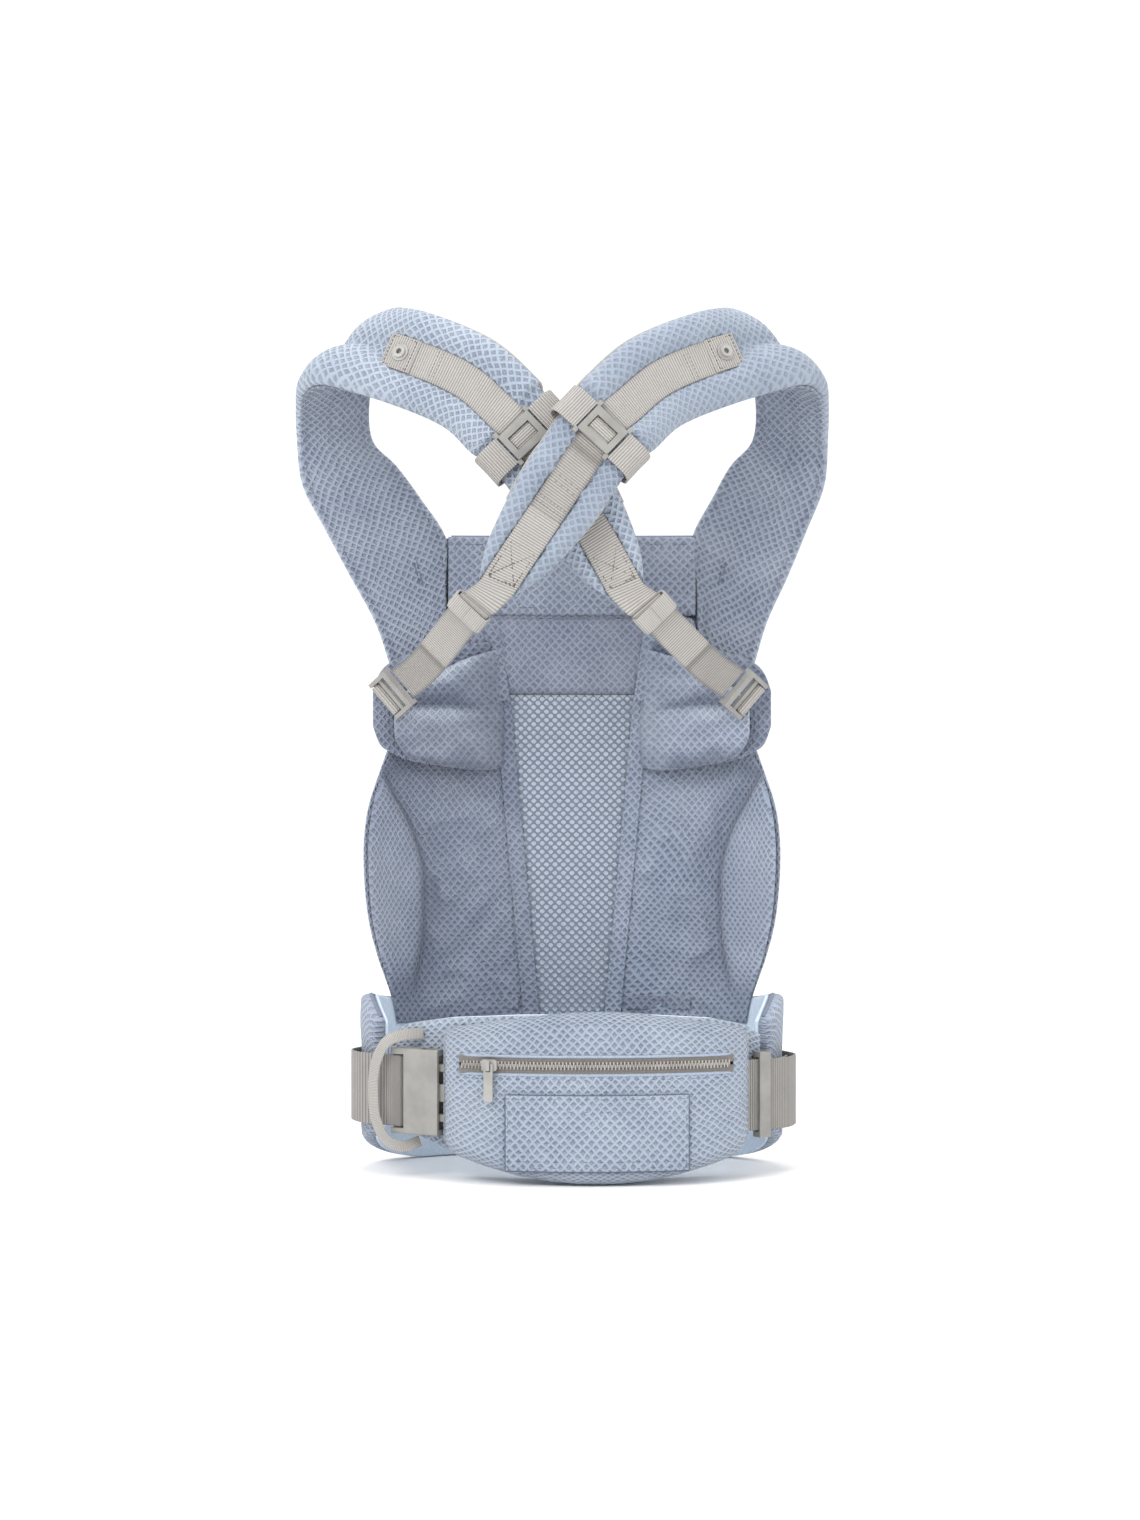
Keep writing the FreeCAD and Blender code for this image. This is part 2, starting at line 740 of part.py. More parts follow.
def make_buckle():
    half = BUCKLE_LENGTH / 2
    tall = BUCKLE_HEIGHT / 2
    deep = BUCKLE_DEPTH / 2
    shell = block(-half, half, -tall, tall, -deep, deep)
    shell = shell.makeFillet(1.6, [e for e in shell.Edges if abs(e.tangentAt(0).x) > 0.9])
    shell = shell.cut(block(-6, half + 1, -tall + 4, tall - 4, -4.5, 4.5))
    shell = shell.cut(block(2.6, 15, -tall - 1, tall + 1, -4.5, 4.5))
    shell = shell.cut(block(-13, -8.5, -26, 26, -deep - 1, deep + 1))
    shell = shell.cut(block(-half - 1, -12, -26, 26, 3.2, deep + 1))
    shell = shell.cut(block(-half - 1, -12, -26, 26, -deep - 1, -3.2))
    save("buckle_housing", placed(shell, *buckle_axes()))
    tongue = block(-5.5, half + 7, -6, 6, -3.4, 3.4)
    base = block(PRONG_END + 0.8, half + 13, -24, 24, -4.1, 4.1)
    base = base.cut(block(half + 9, half + 11, -21, 21, -5, 5))
    save("buckle_male", placed(tongue.fuse(base), *buckle_axes()))
    for name, side in (("upper", 1), ("lower", -1)):
        prong = block(4.6, PRONG_END, 15, 20, -3.4, 3.4)
        shoulder = block(4.6, 13.5, 19, 29.0, -3.4, 3.4)
        prong = prong.fuse(shoulder)
        if side < 0:
            prong = prong.mirror(FreeCAD.Vector(0, 0, 0), FreeCAD.Vector(0, 1, 0))
        save(f"buckle_prong_{name}", placed(prong, *buckle_axes()))


def make_left_webbing():
    """Webbing from the wing round the housing's bar and back to its keeper."""
    z0 = WAIST_Z - WAIST_WEB_WIDTH / 2
    z1 = WAIST_Z + WAIST_WEB_WIDTH / 2
    path = [belt_point(angle, WEB_STANDOFF)[:2] for angle in (-68, -74, -80, -86)]
    path += [(-157.5, 2), (-157, -10), (-151, -24), (-140, -34.5)]
    path += [in_buckle(t, n)[:2] for t, n in ((-22, 4.6), (-16, 4.9), (-12, 4.3), (-10.7, 0))]
    path += [in_buckle(t, n)[:2] for t, n in ((-12, -4.3), (-16, -4.9), (-23, -4.4))]
    save("waist_webbing_left", plan_band(path, WEB, z0, z1))


def make_safety_loop():
    """Elastic loop over the webbing beside the buckle."""
    rows = [
        (-105, -42.5, 100),
        (-119, -47, 99),
        (-131, -48, 93.5),
        (-138, -47, 78),
        (-139.5, -45.5, 60),
        (-138, -47, 42),
        (-131, -48, 26.5),
        (-119, -47, 21),
        (-107, -42.5, 24),
    ]
    rings = []
    for i, p in enumerate(rows):
        along = unit(add(rows[min(i + 1, len(rows) - 1)], rows[max(i - 1, 0)], -1))
        outward = unit(cross(cross(along, (-0.45, -0.89, 0)), along))
        across = unit(cross(along, outward))
        corners = [(-4, 0), (4, 0), (4, 1.4), (-4, 1.4)]
        rings.append([add(add(p, across, w), outward, h) for w, h in corners])
    save("safety_loop", sweep(rings))


def make_right_webbing():
    """Webbing from the lumbar pad through a slide, round to the belt's right wing."""
    z0 = WAIST_Z - 3 - WAIST_WEB_WIDTH / 2
    z1 = WAIST_Z - 3 + WAIST_WEB_WIDTH / 2
    path = [arc_point(angle, 249.0, 0)[:2] for angle in (21, 24, 27, 30)]
    path += [(145.5, -36.4), (153.5, -28), (158.5, -15), (159.5, -2)]
    path += [belt_point(angle, WEB_STANDOFF)[:2] for angle in (84, 79, 74, 68)]
    save("waist_webbing_right", plan_band(path, WEB, z0, z1))
    tail = [arc_point(angle, 246.6, 0)[:2] for angle in (28.2, 30)] + [(140.2, -36.4), (146.5, -30), (151, -20), (153.6, -10)]
    save("waist_webbing_tail", plan_band(tail, WEB, z0 + 0.5, z1 - 0.5))
    outward = unit(add(arc_point(30, 1, 0), arc_point(30, 0, 0), -1))
    slide = block(-4.5, 4.5, -30, 30, -4.6, 4.4).cut(block(-5, 5, -26.2, 26.2, -2.7, 2.6))
    slide = placed(slide, arc_point(30, 247.8, WAIST_Z - 3), (0, 0, 1), outward)
    save("waist_slide", slide)


def make_waist():
    make_belt()
    make_lumbar_pad()
    make_pouch()
    make_zip()
    make_buckle()
    make_left_webbing()
    make_safety_loop()
    make_right_webbing()


make_straps()
make_panel()
make_waist()
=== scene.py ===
"""Looks of the soft baby carrier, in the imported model's frame."""

import bmesh
import bpy
import functools
import math
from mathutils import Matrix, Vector, noise
from mathutils.kdtree import KDTree


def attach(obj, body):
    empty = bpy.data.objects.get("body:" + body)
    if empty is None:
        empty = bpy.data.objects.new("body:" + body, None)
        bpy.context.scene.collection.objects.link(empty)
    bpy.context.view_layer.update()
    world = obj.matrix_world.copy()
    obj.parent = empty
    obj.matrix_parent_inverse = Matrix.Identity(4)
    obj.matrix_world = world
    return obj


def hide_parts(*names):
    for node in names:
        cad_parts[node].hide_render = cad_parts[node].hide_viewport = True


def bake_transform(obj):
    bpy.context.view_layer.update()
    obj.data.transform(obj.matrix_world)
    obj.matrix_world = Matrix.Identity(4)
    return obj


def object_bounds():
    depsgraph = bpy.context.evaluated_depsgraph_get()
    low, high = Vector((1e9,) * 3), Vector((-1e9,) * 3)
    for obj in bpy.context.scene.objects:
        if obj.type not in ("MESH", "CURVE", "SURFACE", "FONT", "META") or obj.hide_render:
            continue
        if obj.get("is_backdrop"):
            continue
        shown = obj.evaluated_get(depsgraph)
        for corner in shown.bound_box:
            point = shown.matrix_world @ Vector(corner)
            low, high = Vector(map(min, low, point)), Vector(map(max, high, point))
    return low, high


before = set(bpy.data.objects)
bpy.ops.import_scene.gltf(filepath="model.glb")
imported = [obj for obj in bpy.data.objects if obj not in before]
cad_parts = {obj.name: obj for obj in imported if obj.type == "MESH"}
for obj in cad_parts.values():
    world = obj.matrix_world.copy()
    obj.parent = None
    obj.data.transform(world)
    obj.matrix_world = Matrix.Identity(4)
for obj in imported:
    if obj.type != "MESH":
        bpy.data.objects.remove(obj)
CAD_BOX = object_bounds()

# All dimensions are millimetres in the body's own frame, as in the CAD model.
MIDDLE = (-7.05, -4.45, 0.0)      # the model's origin in the body's own frame
MM = 0.001                        # metres
LEFT = -1
RIGHT = 1
SIDES = {"left": LEFT, "right": RIGHT}

CLOTH_CELL = 5.0                  # cell of the remeshed copy that the cloth simulation runs on
CLOTH_MASS = 0.02                 # kilograms for one of its points
CLOTH_FRAMES = 20

STRAP_SIZE = (690, 96)            # length and width of a pad laid flat
STRAP_LINING_SIZE = (690, 94)
STRAP_SHIFT = -7.0                # sideways, where the straps cross
# Rows along the strap: x, y, z at its neck edge, then at its arm edge.
STRAP_STATIONS = [
    (90, 64, 350, 127, 56, 336),
    (92, 64, 388, 136, 60, 366),
    (92, 64, 423, 146, 62, 396),
    (91, 63, 456, 162, 61, 428),
    (109, 62, 488, 178, 58, 462),
    (124, 62, 511, 193, 54, 496),
    (141, 62, 530, 195, 44, 528),
    (143, 50, 561, 194, 30, 549),
    (134, 30, 595, 190, 12, 560),
    (117, 4, 614, 174, -8, 563),
    (97, -24, 611, 125, -30, 546),
    (52, -42, 590, 85, -42, 528),
    (22, -50, 564, 65, -50, 509),
    (3, -54, 540, 50, -54, 496),
    (-36, -57, 486, 13, -57, 451),
    (-63, -60, 418, -27, -60, 403),
]
LAST_STATION = 15.0
SHIFT_WEIGHTS = [0, 0, 0.1, 0.3, 0.6, 0.9] + [1] * 10
FRONT_STRAP_LIFT = [0] * 10 + [-1, -8, -17, -24, -26, -26]
FRONT_STRAP_ASIDE = [0] * 14 + [5, 0]
TAB_STATION = 10.0
RAIL_START = 10.28
SLIDER_STATION = 13.0
STRAP_WEB_HALF = 12.5
KEEPER_SHARE = 0.553              # place of the keeper along the side webbing, 0 to 1
WEB = 1.5                         # thickness of webbing
# Rows along the side webbing: x, y at the back, y at the front, z, share of the shift, direction across.
SIDE_WEB_STATIONS = [
    (-53, -69, -95, 403, 1.0, (0.80, 0, -0.60)),
    (-64, -60, -77, 396, 1.0, (0.72, 0, -0.69)),
    (-98, -26, -28, 362, 0.6, (0.70, 0, -0.71)),
    (-120, -3, -3, 346, 0.4, (0.64, 0, -0.77)),
]

PANEL_MIDDLE_Y = 4.0
PANEL_DEPTH = 60.0
PANEL_HALF_BOW = 158.0
PANEL_BOTTOM = 100.0
WINDOW_TOP = 341.0
BODY_TOP = 398.0
WINDOW_HALF_BOTTOM = 24.0
WINDOW_HALF_TOP = 46.0
BINDING_WIDTH = 12.0
HEAD_TOP = 458.0
HEAD_HALF = 87.0
HEAD_SIZE = (58, 174)
SIDE_HEIGHT = 237.0
SIDE_SINK = 2.6                   # deepest hollow of the side panel
UPPER_BACK_HALF = 89.0
UPPER_BACK_SIZE = (56, 178)
WING_SIZE = (88, 72)

BELT_A = 146.0
BELT_B = 76.0
BELT_MIDDLE_Y = 6.0
BELT_WING = 112.0                 # angle from the far middle to each end of the belt
BELT_SIZE = (490, 114)
WEB_STANDOFF = 7.4
ARC_X = 10.0
ARC_Y = 173.0
PAD_FRONT = 242.2
POUCH_ANGLE = 1.7
POUCH_HALF_ANGLE = 24.6
POUCH_FRONT = 268.0
ZIP_Z = 82.4
ZIP_HEIGHT = 13.8
ZIP_FROM = -19.4
ZIP_TO = 22.6
PATCH_FROM = -12.0
PATCH_TO = 15.2
PATCH_BOTTOM = 10.0
PATCH_TOP = 62.0
WAIST_Z = 60.0
BUCKLE_ANGLE = -28.0
BUCKLE_RADIUS = 250.5
WAIST_WEB_WIDTH = 50.0

EYE = (-1.44, -2000.0, 292.5)     # place of the camera
FRONT = (0, -1, 0)                # direction towards it


# ---------------------------------------------------------------- points and curves

def add(a, b, k=1.0):
    return tuple(i + k * j for i, j in zip(a, b))


def scale(a, k):
    return tuple(i * k for i in a)


def middle(a, b):
    return scale(add(a, b), 0.5)


def unit(a):
    return scale(a, 1.0 / math.sqrt(sum(i * i for i in a)))


def cross(a, b):
    return (a[1] * b[2] - a[2] * b[1], a[2] * b[0] - a[0] * b[2], a[0] * b[1] - a[1] * b[0])


def catmull(rows, s):
    """Row at station s on the smooth curve through rows that are one station apart."""
    i = max(min(int(s), len(rows) - 2), 0)
    f = s - i
    p1 = rows[i]
    p2 = rows[i + 1]
    p0 = rows[i - 1] if i > 0 else add(scale(p1, 2), p2, -1)
    p3 = rows[i + 2] if i + 2 < len(rows) else add(scale(p2, 2), p1, -1)
    return tuple(
        0.5 * (
            2 * b + (c - a) * f + (2 * a - 5 * b + 4 * c - d) * f ** 2 + (3 * b - a - 3 * c + d) * f ** 3
        )
        for a, b, c, d in zip(p0, p1, p2, p3)
    )


def clamp(v, low=0.0, high=1.0):
    return max(low, min(high, v))


def ease(v, low, high):
    """0 below low, 1 above high, smooth between."""
    f = clamp((v - low) / (high - low))
    return f * f * (3 - 2 * f)


def bump(v, middle_value, width):
    """1 at the middle value, falling to 0 over the width."""
    return math.exp(-((v - middle_value) / width) ** 2)


def spread(first, last, count):
    return [first + (last - first) * i / (count - 1) for i in range(count)]


def dome(v, power=0.6):
    """0 at v = 0 and 1, rising quickly to 1 between them."""
    return math.sin(math.pi * v) ** power


def rumple(p, size, seed=0.0):
    """Smooth noise about -1 to 1 whose folds are about `size` millimetres wide."""
    return noise.noise(Vector((p[0] / size + seed, p[1] / size, p[2] / size - seed)))


# ---------------------------------------------------------------- meshes

def in_metres(p):
    return tuple((v - m) * MM for v, m in zip(p, MIDDLE))


def new_object(name, vertices, faces, uvs=None):
    """Object from points in millimetres; uvs holds one (u, v) in metres for each face corner."""
    mesh = bpy.data.meshes.new(name)
    mesh.from_pydata([in_metres(p) for p in vertices], [], faces)
    if uvs:
        layer = mesh.uv_layers.new(name="Weave")
        for loop, uv in zip(layer.data, uvs):
            loop.uv = uv
    mesh.update()
    for polygon in mesh.polygons:
        polygon.use_smooth = True
    piece = bpy.data.objects.new(name, mesh)
    bpy.context.scene.collection.objects.link(piece)
    return piece


def rim_steps(length, rim, count):
    """Steps from 0 to 1 crowded at both ends, each with its share of the full thickness."""
    share = min(rim / length, 0.45)
    angles = [math.pi / 2 * i / 5 for i in range(6)]
    start = [(share * (1 - math.cos(a)), math.sin(a)) for a in angles]
    inner = [(v, 1.0) for v in spread(share, 1 - share, count)[1:-1]]
    finish = [(1 - v, h) for v, h in reversed(start)]
    return start + inner + finish


def cushion(name, surface, size, thickness, rim=3.0, step=5.0, weave=None, shade=None):
    """Closed soft form round a surface, rounded at its rim.

    surface(t, x) gives a point and the outward direction for t along and x across, each 0 to 1.
    thickness(t, x) gives how far the form reaches inward and outward of it, in millimetres.
    size is its length and width, for the number of faces. weave(t, x) is the cloth's own place
    there in millimetres, across and along, where the form isn't a plain rectangle.
    shade(t, x) is how far painted shade darkens the cloth there, up to 1, or painted highlight lightens it,
    down to -1.
    """
    length, width = size
    rows = rim_steps(length, rim, max(int(length / step), 4))
    columns = rim_steps(width, rim, max(int(width / step), 4))
    vertices = []
    front = {}
    back = {}
    cloth = {}
    tones = {}
    for i, (t, row_share) in enumerate(rows):
        for j, (x, column_share) in enumerate(columns):
            point, outward = surface(t, x)
            cloth[i, j] = weave(t, x) if weave else (x * width, t * length)
            low, high = thickness(t, x)
            tone = shade(t, x) if shade else 0.0
            share = min(row_share, column_share)
            centre = 0.5 * (low + high)
            front[i, j] = len(vertices)
            tones[front[i, j]] = tone
            vertices.append(add(point, outward, centre + (high - centre) * share))
            back[i, j] = front[i, j]
            if share > 0:
                back[i, j] = len(vertices)
                tones[back[i, j]] = tone
                vertices.append(add(point, outward, centre + (low - centre) * share))
    faces = []
    uvs = []
    for i in range(len(rows) - 1):
        for j in range(len(columns) - 1):
            ring = [(i, j), (i, j + 1), (i + 1, j + 1), (i + 1, j)]
            flat = [scale(cloth[k], MM) for k in ring]
            faces.append([front[k] for k in ring])
            faces.append([back[k] for k in reversed(ring)])
            uvs += flat + flat[::-1]
    piece = new_object(name, vertices, faces, uvs)
    if shade:
        layer = piece.data.attributes.new("Shade", "FLOAT", "POINT")
        for index, tone in tones.items():
            layer.data[index].value = tone
    face_outward(piece)
    return piece


def face_outward(piece):
    mesh = bmesh.new()
    mesh.from_mesh(piece.data)
    bmesh.ops.recalc_face_normals(mesh, faces=mesh.faces)
    mesh.to_mesh(piece.data)
    mesh.free()


def tube(name, points, radius, sides=6):
    """Round cord, stitch or piping through points in millimetres."""
    curve = bpy.data.curves.new(name, "CURVE")
    curve.dimensions = "3D"
    curve.bevel_depth = radius * MM
    curve.bevel_resolution = sides // 3
    curve.use_fill_caps = True
    spline = curve.splines.new("POLY")
    spline.points.add(len(points) - 1)
    for target, p in zip(spline.points, points):
        target.co = (*in_metres(p), 1)
    piece = bpy.data.objects.new(name, curve)
    bpy.context.scene.collection.objects.link(piece)
    return piece


def settle(piece, material, body, nodes=()):
    piece.data.materials.clear()
    piece.data.materials.append(material)
    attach(piece, body)
    if nodes:
        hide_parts(*nodes)
    return piece


def held_points(surface, size, low, high, step=6.0):
    """Points over the hidden side of a piece and round its rim, for the simulation to hold."""
    rows = max(int(size[0] / step), 1)
    columns = max(int(size[1] / step), 1)
    points = []
    for t in spread(0, 1, rows + 1):
        for x in spread(0, 1, columns + 1):
            point, outward = surface(t, x)
            points.append(add(point, outward, low))
            if t in (0, 1) or x in (0, 1):
                points.append(add(point, outward, 0.5 * (low + high)))
    return points


def cloth_copy(piece):
    """Copy of the piece, remeshed into even cells for the cloth simulation."""
    work = bpy.data.objects.new("cloth_copy", piece.data.copy())
    bpy.context.scene.collection.objects.link(work)
    remesh = work.modifiers.new("Remesh", "REMESH")
    remesh.mode = "VOXEL"
    remesh.voxel_size = CLOTH_CELL * MM
    even = bpy.data.meshes.new_from_object(work.evaluated_get(bpy.context.evaluated_depsgraph_get()))
    work.modifiers.clear()
    work.data = even
    return work


def hold(work, seams, reach):
    """Pin the points within reach millimetres of a seam, given as points in millimetres."""
    tree = KDTree(len(seams))
    for i, p in enumerate(seams):
        tree.insert(in_metres(p), i)
    tree.balance()
    held = [v.index for v in work.data.vertices if tree.find(v.co)[2] < reach * MM]
    group = work.vertex_groups.new(name="held")
    group.add(held, 1.0, "REPLACE")


def simulate(work, pressure):
    """Run the cloth under air pressure and return how far each point moved."""
    scene = bpy.context.scene
    rest = [v.co.copy() for v in work.data.vertices]
    cloth = work.modifiers.new("Cloth", "CLOTH")
    cloth.settings.use_pressure = True
    cloth.settings.uniform_pressure_force = pressure
    cloth.settings.mass = CLOTH_MASS
    cloth.settings.quality = 5
    cloth.settings.effector_weights.gravity = 0
    cloth.settings.vertex_group_mass = "held"
    cloth.point_cache.frame_start = 1
    cloth.point_cache.frame_end = CLOTH_FRAMES
    for number in range(1, CLOTH_FRAMES + 1):
        scene.frame_set(number)
    shaped = work.evaluated_get(bpy.context.evaluated_depsgraph_get())
    moves = [v.co - a for v, a in zip(shaped.data.vertices, rest)]
    scene.frame_set(1)
    return rest, moves


def puff(piece, seams, reach, cap, pressure=8.0):
    """Swell a padded piece by cloth simulation, held along its seams, by at most cap millimetres."""
    work = cloth_copy(piece)
    hold(work, seams, reach)
    rest, moves = simulate(work, pressure)
    tree = KDTree(len(rest))
    for i, p in enumerate(rest):
        tree.insert(p, i)
    tree.balance()
    for vertex in piece.data.vertices:
        total = Vector((0, 0, 0))
        weight = 0.0
        for _, i, distance in tree.find_n(vertex.co, 6):
            share = 1.0 / (distance + 0.0005) ** 2
            total += moves[i] * share
            weight += share
        move = total / weight
        if move.length > cap * MM:
            move *= cap * MM / move.length
        vertex.co += move
    piece.data.update()
    even = work.data
    bpy.data.objects.remove(work)
    bpy.data.meshes.remove(even)


# ---------------------------------------------------------------- materials

class Graph:
    """Small helper that adds and joins a material's nodes."""

    def __init__(self, name):
        self.material = bpy.data.materials.new(name)
        self.material.use_nodes = True
        self.tree = self.material.node_tree
        self.shader = self.tree.nodes["Principled BSDF"]

    def put(self, target, value):
        if isinstance(value, bpy.types.NodeSocket):
            self.tree.links.new(value, target)
        else:
            target.default_value = value

    def math(self, operation, *values):
        node = self.tree.nodes.new("ShaderNodeMath")
        node.operation = operation
        for socket, value in zip(node.inputs, values):
            self.put(socket, value)
        return node.outputs[0]

    def weave_axes(self):
        """The cloth's own two directions, in metres."""
        uv = self.tree.nodes.new("ShaderNodeUVMap")
        uv.uv_map = "Weave"
        split = self.tree.nodes.new("ShaderNodeSeparateXYZ")
        self.put(split.inputs[0], uv.outputs[0])
        return split.outputs[0], split.outputs[1]

    def place(self):
        return self.tree.nodes.new("ShaderNodeTexCoord").outputs["Object"]

    def noise(self, size_mm, detail=3.0, roughness=0.55):
        node = self.tree.nodes.new("ShaderNodeTexNoise")
        self.put(node.inputs["Vector"], self.place())
        node.inputs["Scale"].default_value = 1000.0 / size_mm
        node.inputs["Detail"].default_value = detail
        node.inputs["Roughness"].default_value = roughness
        return node.outputs["Fac"]

    def smooth(self, value, low, high, start=0.0, end=1.0):
        node = self.tree.nodes.new("ShaderNodeMapRange")
        node.interpolation_type = "SMOOTHSTEP"
        self.put(node.inputs["Value"], value)
        node.inputs["From Min"].default_value = low
        node.inputs["From Max"].default_value = high
        node.inputs["To Min"].default_value = start
        node.inputs["To Max"].default_value = end
        return node.outputs["Result"]

    def mix(self, factor, a, b):
        node = self.tree.nodes.new("ShaderNodeMix")
        node.data_type = "RGBA"
        self.put(node.inputs[0], factor)
        self.put(node.inputs[6], a if isinstance(a, bpy.types.NodeSocket) else (*a, 1.0))
        self.put(node.inputs[7], b if isinstance(b, bpy.types.NodeSocket) else (*b, 1.0))
        return node.outputs[2]

    def toned(self, colour, shadow=(0.06, 0.075, 0.12)):
        """Colour darkened by painted shade, or lightened towards pale blue by painted highlight, after the
        piece's own Shade.
        """
        tone = self.tree.nodes.new("ShaderNodeAttribute")
        tone.attribute_name = "Shade"
        dark = self.mix(self.smooth(tone.outputs["Fac"], 0.0, 1.0, 0.0, 0.55), colour, shadow)
        return self.mix(self.smooth(tone.outputs["Fac"], 0.0, -1.0, 0.0, 0.45), dark, (0.62, 0.70, 0.80))

    def finish(self, colour, height, depth_mm, roughness, sheen=0.0):
        painted_dimple_shading = self.tree.nodes.new("ShaderNodeBump")
        painted_dimple_shading.inputs["Distance"].default_value = depth_mm * MM
        painted_dimple_shading.inputs["Strength"].default_value = 1.0
        self.put(painted_dimple_shading.inputs["Height"], height)
        self.put(self.shader.inputs["Normal"], painted_dimple_shading.outputs[0])
        self.put(self.shader.inputs["Base Color"], colour)
        self.put(self.shader.inputs["Roughness"], roughness)
        self.shader.inputs["Sheen Weight"].default_value = sheen
        self.shader.inputs["Sheen Roughness"].default_value = 0.5
        self.shader.inputs["Specular IOR Level"].default_value = 0.25
        return self.material


def diamond_cells(g, across_mm, along_mm, lift=0.0):
    """0 at the middle of each diamond of a staggered net, 0.5 on the ribs between them."""
    u, v = g.weave_axes()
    drift = g.math("SUBTRACT", g.noise(16.0, 2.0), 0.5)
    sway = g.math("SUBTRACT", g.noise(9.0, 2.0), 0.5)
    a = g.math("ADD", g.math("MULTIPLY", u, 1000.0 / across_mm), g.math("MULTIPLY", drift, 0.75))
    b = g.math("ADD", g.math("MULTIPLY", v, 1000.0 / along_mm), g.math("MULTIPLY", sway, 0.6))
    b = g.math("ADD", b, lift)
    distances = []
    for total in (g.math("ADD", a, b), g.math("SUBTRACT", a, b)):
        part = g.math("FRACT", total)
        distances.append(g.math("ABSOLUTE", g.math("SUBTRACT", part, 0.5)))
    return g.math("MAXIMUM", *distances)


def dimpled_knit(name, rib, dimple, across_mm=6.3, along_mm=6.6, depth=1.3, contrast=0.72):
    """Three-dimensional knit: ribs in a diamond net with a soft dimple in every cell."""
    g = Graph(name)
    cell = diamond_cells(g, across_mm, along_mm)
    ribs = g.smooth(cell, 0.10, 0.42)
    # Painted shading of each dimple: the ribs' pattern moved a little along the cloth, less the ribs
    # themselves, darkens one side of each dimple and lightens the other, as light from above would.
    upper = g.smooth(diamond_cells(g, across_mm, along_mm, 0.16), 0.10, 0.42)
    painted_dimple_shading = g.math("MULTIPLY", g.math("SUBTRACT", upper, ribs), 0.42)
    yarn = g.noise(1.1, 2.0)
    patch = g.noise(45.0, 3.0)
    worn = g.smooth(g.noise(13.0, 3.0), 0.25, 0.75, 0.55, 1.15)
    height = g.math("ADD", ribs, g.math("MULTIPLY", yarn, 0.35))
    # The dimples are darker than the ribs: partly the knit's own pattern, partly painted shade in each
    # hollow.
    shade = g.math("MULTIPLY", g.math("MULTIPLY", g.math("SUBTRACT", 1.0, ribs), contrast), worn)
    shade = g.math("ADD", shade, g.math("MULTIPLY", g.math("SUBTRACT", yarn, 0.5), 0.5))
    shade = g.math("ADD", shade, painted_dimple_shading)
    colour = g.mix(g.smooth(shade, -0.1, 1.1), rib, dimple)
    faded = g.mix(g.smooth(patch, 0.3, 0.7), colour, g.mix(0.10, colour, (0.75, 0.80, 0.88)))
    rough = g.smooth(yarn, 0.2, 0.8, 0.82, 0.95)
    return g.finish(g.toned(faded), height, depth, rough, sheen=0.25)


def woven_webbing(name, light, dark, rib_mm=1.9):
    """Webbing: fine cross ribs, with a firm edge."""
    g = Graph(name)
    u, v = g.weave_axes()
    wave = g.math("SINE", g.math("MULTIPLY", v, 2 * math.pi * 1000.0 / rib_mm))
    warp = g.math("SINE", g.math("MULTIPLY", u, 2 * math.pi * 1000.0 / 1.1))
    yarn = g.noise(0.9, 2.0)
    height = g.math("ADD", g.math("MULTIPLY", wave, 0.6), g.math("MULTIPLY", warp, 0.2))
    height = g.math("ADD", height, yarn)
    worn = g.math("MULTIPLY", g.noise(16.0, 3.0), 0.35)
    shade = g.math("ADD", g.math("MULTIPLY", wave, 0.42), g.math("ADD", worn, 0.34))
    shade = g.math("ADD", shade, g.math("MULTIPLY", g.math("SUBTRACT", yarn, 0.5), 0.3))
    colour = g.mix(g.smooth(shade, 0.1, 0.95), dark, light)
    rough = g.smooth(yarn, 0.2, 0.8, 0.75, 0.9)
    return g.finish(g.toned(colour, (0.055, 0.050, 0.045)), height, 0.35, rough, sheen=0.12)


def moulded_plastic(name, light, dark, roughness=0.42):
    g = Graph(name)
    grain = g.noise(0.7, 2.0)
    patch = g.noise(14.0, 3.0)
    colour = g.mix(g.smooth(patch, 0.3, 0.7), dark, light)
    rough = g.smooth(g.noise(5.0, 4.0), 0.3, 0.7, roughness - 0.06, roughness + 0.10)
    material = g.finish(colour, grain, 0.05, rough)
    g.shader.inputs["Specular IOR Level"].default_value = 0.5
    return material


def plain_yarn(name, light, dark, grain_mm=1.2, depth=0.25):
    g = Graph(name)
    yarn = g.noise(grain_mm, 3.0)
    colour = g.mix(g.smooth(yarn, 0.3, 0.7), dark, light)
    return g.finish(colour, yarn, depth, g.smooth(yarn, 0.2, 0.8, 0.8, 0.95), sheen=0.15)


# Copies of one blue dimpled knit whose colours are painted lighter or darker for the light and shade that
# fall on their pieces: the lightest copy on the near pads, darker copies on the pouch, lining, upper back,
# side panels and wings, with left and right painted apart.
KNIT = dimpled_knit("dimpled_knit", (0.322, 0.375, 0.452), (0.158, 0.191, 0.268))
KNIT_SHADED_RIGHT = dimpled_knit("dimpled_knit_shaded_right", (0.258, 0.304, 0.374), (0.160, 0.194, 0.262), depth=0.9)
KNIT_POUCH = dimpled_knit("dimpled_knit_pouch", (0.30, 0.35, 0.43), (0.150, 0.182, 0.25))
KNIT_SHADED_INNER = dimpled_knit("dimpled_knit_shaded_inner", (0.235, 0.27, 0.345), (0.122, 0.144, 0.205))
KNIT_SHADED_UPPER = dimpled_knit("dimpled_knit_shaded_upper", (0.195, 0.22, 0.29), (0.11, 0.13, 0.182))
KNIT_SHADED_SIDE = dimpled_knit("dimpled_knit_shaded_side", (0.178, 0.205, 0.278), (0.092, 0.111, 0.160))
KNIT_SHADED_SIDE_RIGHT = dimpled_knit("dimpled_knit_shaded_side_right", (0.242, 0.284, 0.368), (0.124, 0.149, 0.213))
